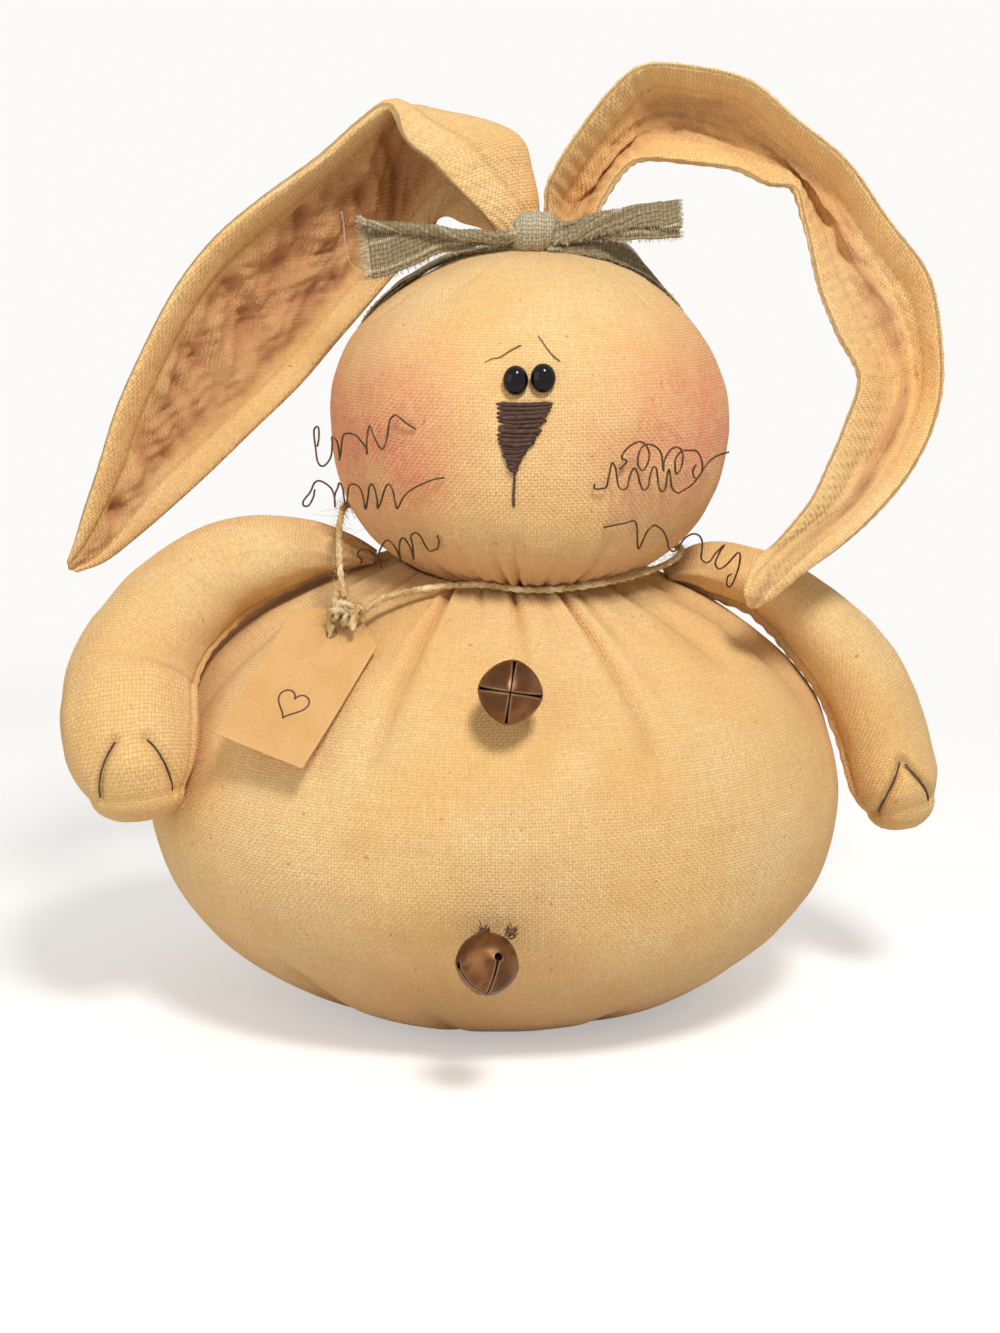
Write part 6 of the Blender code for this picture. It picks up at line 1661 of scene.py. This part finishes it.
def whisker_path(stand_off, route, seed):
    """The flat scrawl is laid over the face and held off it, by more over its first quarter; a slow
    wave towards the viewer keeps its loops clear of each other."""
    x, z = np.array(route, float).T
    flat = even_route(np.stack([x, 0 * x, z], axis=-1), WHISKER_STATIONS) * MM
    share = np.linspace(0, 1, WHISKER_STATIONS)
    lift = SEW_GAP + WHISKER_RADIUS + stand_off * MM * np.clip(share / WHISKER_LIFT_SHARE, 0, 1)
    lift = lift + 0.9 * MM * np.sin(share * 40 + seed) * np.clip(share * 5, 0, 1)
    x, z = flat[:, 0], flat[:, 2]
    ring = np.maximum(1 - np.abs(z / HEAD_HALF[2]) ** HEAD.lower, 0.05) ** (1 / HEAD.lower)
    edge = HEAD_HALF[0] * ring * WHISKER_EDGE_SHARE
    near = HEAD.front(np.clip(x, -edge, edge), z)
    points = np.stack([HEAD_CENTRE[0] + x, near[:, 1] - lift, HEAD_CENTRE[2] + z], axis=-1)
    return HEAD.push_out(points, SEW_GAP + WHISKER_RADIUS)


rusty_wire = wire_finish()
for number, (whisker_place, (stand_off, whisker_route)) in enumerate(WHISKERS.items()):
    wire_path = whisker_path(stand_off, whisker_route, number)[None]
    tubes(f"whisker_{whisker_place}_wire", wire_path, WHISKER_RADIUS, 8, (0.05, 1, 0.1), rusty_wire,
          "rusty_wire", [f"whisker_{whisker_place}"])


# Bells: two 19 mm jingle bells of pressed steel, rusted brown. Four leaves are folded over a loose
# ball, so two slots cross at the front; a wire shank at the back is sewn to the belly with thread.
BELLS = {  # name: (middle in mm, rise of the slotted end and roll in degrees, slot's half widths in mm)
    "bell_upper": ((0.51, -89.89, 125.45), 12, -8, (0.17, 0.55, 0.75)),
    "bell_lower": ((-6.30, -103.96, 46.87), -41, -22, (0.15, 0.42, 1.25))}
BELL_RADIUS = 9.6 * MM
BELL_WALL = 0.7 * MM
BELL_SQUARENESS = 1.65
BELL_SLOT_ANGLE = np.radians(86)
BELL_SLOT_START = np.radians(1.8)
BELL_LEAF_ROWS = 64
BELL_BACK_ROWS = 44
BELL_COLUMNS = 40
RUST_BROWN = (0.100, 0.040, 0.011, 1)
RUST_DARK = (0.042, 0.018, 0.008, 1)
RUST_WARM = (0.245, 0.105, 0.036, 1)
# Colour of the painted highlight on the leaf edges beside the slots
RUST_EDGE_HIGHLIGHT = (0.42, 0.25, 0.15, 1)


def bell_finish():
    """Steel with an even rusty brown skin: warm where hands rubbed it, dark in clouds, fine pits."""
    metal = Finish("rusty_bell")
    where = metal.place()
    clouds = metal.noise(where, 190, 4)
    rub = metal.noise(where, 95, 3)
    pits = metal.noise(where, 1900, 3)
    scratch = metal.noise(where, 700, 3, (1, 0.2, 1))
    tone = metal.coats(RUST_BROWN, (RUST_WARM, rub, 0.36, 0.64), (RUST_DARK, clouds, 0.5, 0.75, 0, 0.75),
                       (RUST_DARK, pits, 0.6, 0.74, 0, 0.4))
    # Painted shade along the edges of the slots (tint 1) and a painted highlight on the leaf edges just
    # outside them (tint 2).
    tone = metal.mix(metal.calc("MULTIPLY", metal.tint()[0], 0.7), tone, RUST_DARK)
    tone = metal.mix(metal.calc("MULTIPLY", metal.tint()[1], 0.45), tone, RUST_EDGE_HIGHLIGHT)
    rough = metal.ease(clouds, 0.3, 0.75, 0.33, 0.58)
    metal.shade(Base_Color=tone, Metallic=0.8, Roughness=rough,
                Normal=metal.bump(pits, 0.035 * MM, metal.bump(scratch, 0.02 * MM)))
    return metal.material


def bell_grid(slot):
    """One quarter of the shell on a grid of angle from the slotted pole and share between two slots.
    At each angle the leaf starts where half the slot's width ends; below the slots it is whole. Points
    go out to the surface where the powers of x, y and z add up to one, the power falling in front."""
    narrow, wide, keyhole = (value * MM for value in slot)
    leaf = np.linspace(0, 1, BELL_LEAF_ROWS)
    angle = np.concatenate([BELL_SLOT_START + (BELL_SLOT_ANGLE - BELL_SLOT_START) * leaf,
                            np.linspace(BELL_SLOT_ANGLE, np.pi, BELL_BACK_ROWS + 1)[1:]])
    arc = (BELL_SLOT_ANGLE - angle) * BELL_RADIUS
    half = narrow + (wide - narrow) * np.clip(angle / BELL_SLOT_ANGLE, 0, 1) ** 2
    hole = np.sqrt(np.clip(keyhole ** 2 - (arc - keyhole) ** 2, 0, None))
    half = np.where(arc > keyhole, np.maximum(half, hole), hole)
    half = np.where(angle < BELL_SLOT_ANGLE - 1e-6, half, 0)
    start = np.arcsin(np.clip(half / (BELL_RADIUS * np.maximum(np.sin(angle), 1e-6)), 0, np.sqrt(0.5)))
    start = np.where(half > 0, start, 0)
    share = (1 - np.cos(np.linspace(0, np.pi, BELL_COLUMNS))) / 2
    turn = start[:, None] + (np.pi / 2 - 2 * start)[:, None] * share
    way = np.stack([np.sin(angle)[:, None] * np.cos(turn), np.sin(angle)[:, None] * np.sin(turn),
                    np.cos(angle)[:, None] + 0 * turn], axis=-1)
    press = np.clip((way[..., 2] + 0.7) / 0.8, 0, 1)
    power = (2 - (2 - BELL_SQUARENESS) * press)[..., None]
    points = way / (np.abs(way) ** power).sum(axis=-1, keepdims=True) ** (1 / power)
    gap = np.minimum(turn, np.pi / 2 - turn) * np.sin(angle)[:, None] * BELL_RADIUS / MM
    front = np.clip((BELL_SLOT_ANGLE - angle) * 6, 0, 1)[:, None]
    points *= (1 - 0.030 * front * np.exp(-(gap / 0.8) ** 2))[..., None]
    # Painted highlight on each leaf's edge beside the slot, and painted shade right at the slot's edge.
    lip = front * np.exp(-((gap - half[:, None] / MM - 0.35) / 0.25) ** 2)
    dark = front * np.exp(-((gap - half[:, None] / MM) / 0.22) ** 2)
    return points * BELL_RADIUS, np.stack([dark, lip, 0 * lip], axis=-1)


def bell_turn(rise, roll):
    """Rows of a turn that takes the bell's own slotted axis (its z) to the front, raised and rolled."""
    raised = Matrix.Rotation(np.radians(90 - rise), 3, "X")
    return np.array(raised @ Matrix.Rotation(np.radians(roll), 3, "Z"))


def bell_shell(name, middle, rise, roll, slot, material):
    """Four quarters turned round the axis and welded behind the slots, with a wall inwards."""
    quarter, tint = bell_grid(slot)
    points, faces, tints = [], [], []
    number = np.arange(quarter.shape[0] * quarter.shape[1]).reshape(quarter.shape[:2])
    quads = cells(number[None]).reshape(-1, 4)[:, [0, 3, 2, 1]]
    for side in range(4):
        cos, sin = np.cos(side * np.pi / 2), np.sin(side * np.pi / 2)
        spin = np.array([[cos, -sin, 0], [sin, cos, 0], [0, 0, 1]])
        points.append((quarter @ spin.T).reshape(-1, 3))
        faces.append(quads + side * number.size)
        tints.append(tint.reshape(-1, 3))
    points = np.concatenate(points) @ bell_turn(rise, roll).T + np.array(middle) * MM
    shell = add_piece(name + "_leaves", points, np.concatenate(faces).tolist(), material,
                      tint=np.concatenate(tints), replaced=[name + "_shell"])
    weld = bmesh.new()
    weld.from_mesh(shell.data)
    bmesh.ops.remove_doubles(weld, verts=weld.verts, dist=0.004 * MM)
    weld.to_mesh(shell.data)
    weld.free()
    wall = shell.modifiers.new("wall", "SOLIDIFY")
    wall.thickness = BELL_WALL
    wall.offset = -1
    return shell


rusty_bell = bell_finish()
for bell_name, bell_values in BELLS.items():
    bell_shell(bell_name, *bell_values, rusty_bell)


# Shanks, loose balls and sewing threads: the ball takes the bell's own rust and the wire ring that
# of the whiskers. Brown thread goes through the ring, and its cut ends stand up above the lower bell.
THREAD_ENDS = {  # name: (foot in mm, way of the tuft, seed)
    "bell_lower_left": ((-6.9, -98.8, 54.8), (-0.25, -0.35, 1), 131),
    "bell_lower_right": ((0.6, -99.2, 54.8), (0.35, -0.4, 0.9), 133)}
TUFT_HAIRS = 40
TUFT_SPREAD = 0.6
TUFT_LENGTH = 2.8 * MM
TUFT_CURL = 2.2 * MM
TUFT_RADIUS = 0.22 * MM


def thread_tuft(name, foot, way, seed):
    """A small tangle of brown thread: curled ends from one point."""
    random = np.random.default_rng(seed)
    roots = np.array(foot) * MM + random.normal(0, TUFT_SPREAD, (TUFT_HAIRS, 3)) * MM
    ways = np.broadcast_to(way, roots.shape) * 1.0
    paths = hairs(seed + 1, roots, ways, TUFT_LENGTH, TUFT_CURL, 12)
    paths = BODY.push_out(paths, 0.3 * MM)
    return tubes(name + "_tuft", paths, TUFT_RADIUS, 5, (0.2, 0.9, 0.3), brown_thread, "thread_brown")


for tuft_name, tuft_values in THREAD_ENDS.items():
    thread_tuft(tuft_name, *tuft_values)
for bell_name in BELLS:
    for part, finish in (("_ball", rusty_bell), ("_shank", rusty_wire), ("_thread", brown_thread)):
        node = bpy.data.objects[bell_name + part]
        for slot in node.material_slots:
            slot.material = finish
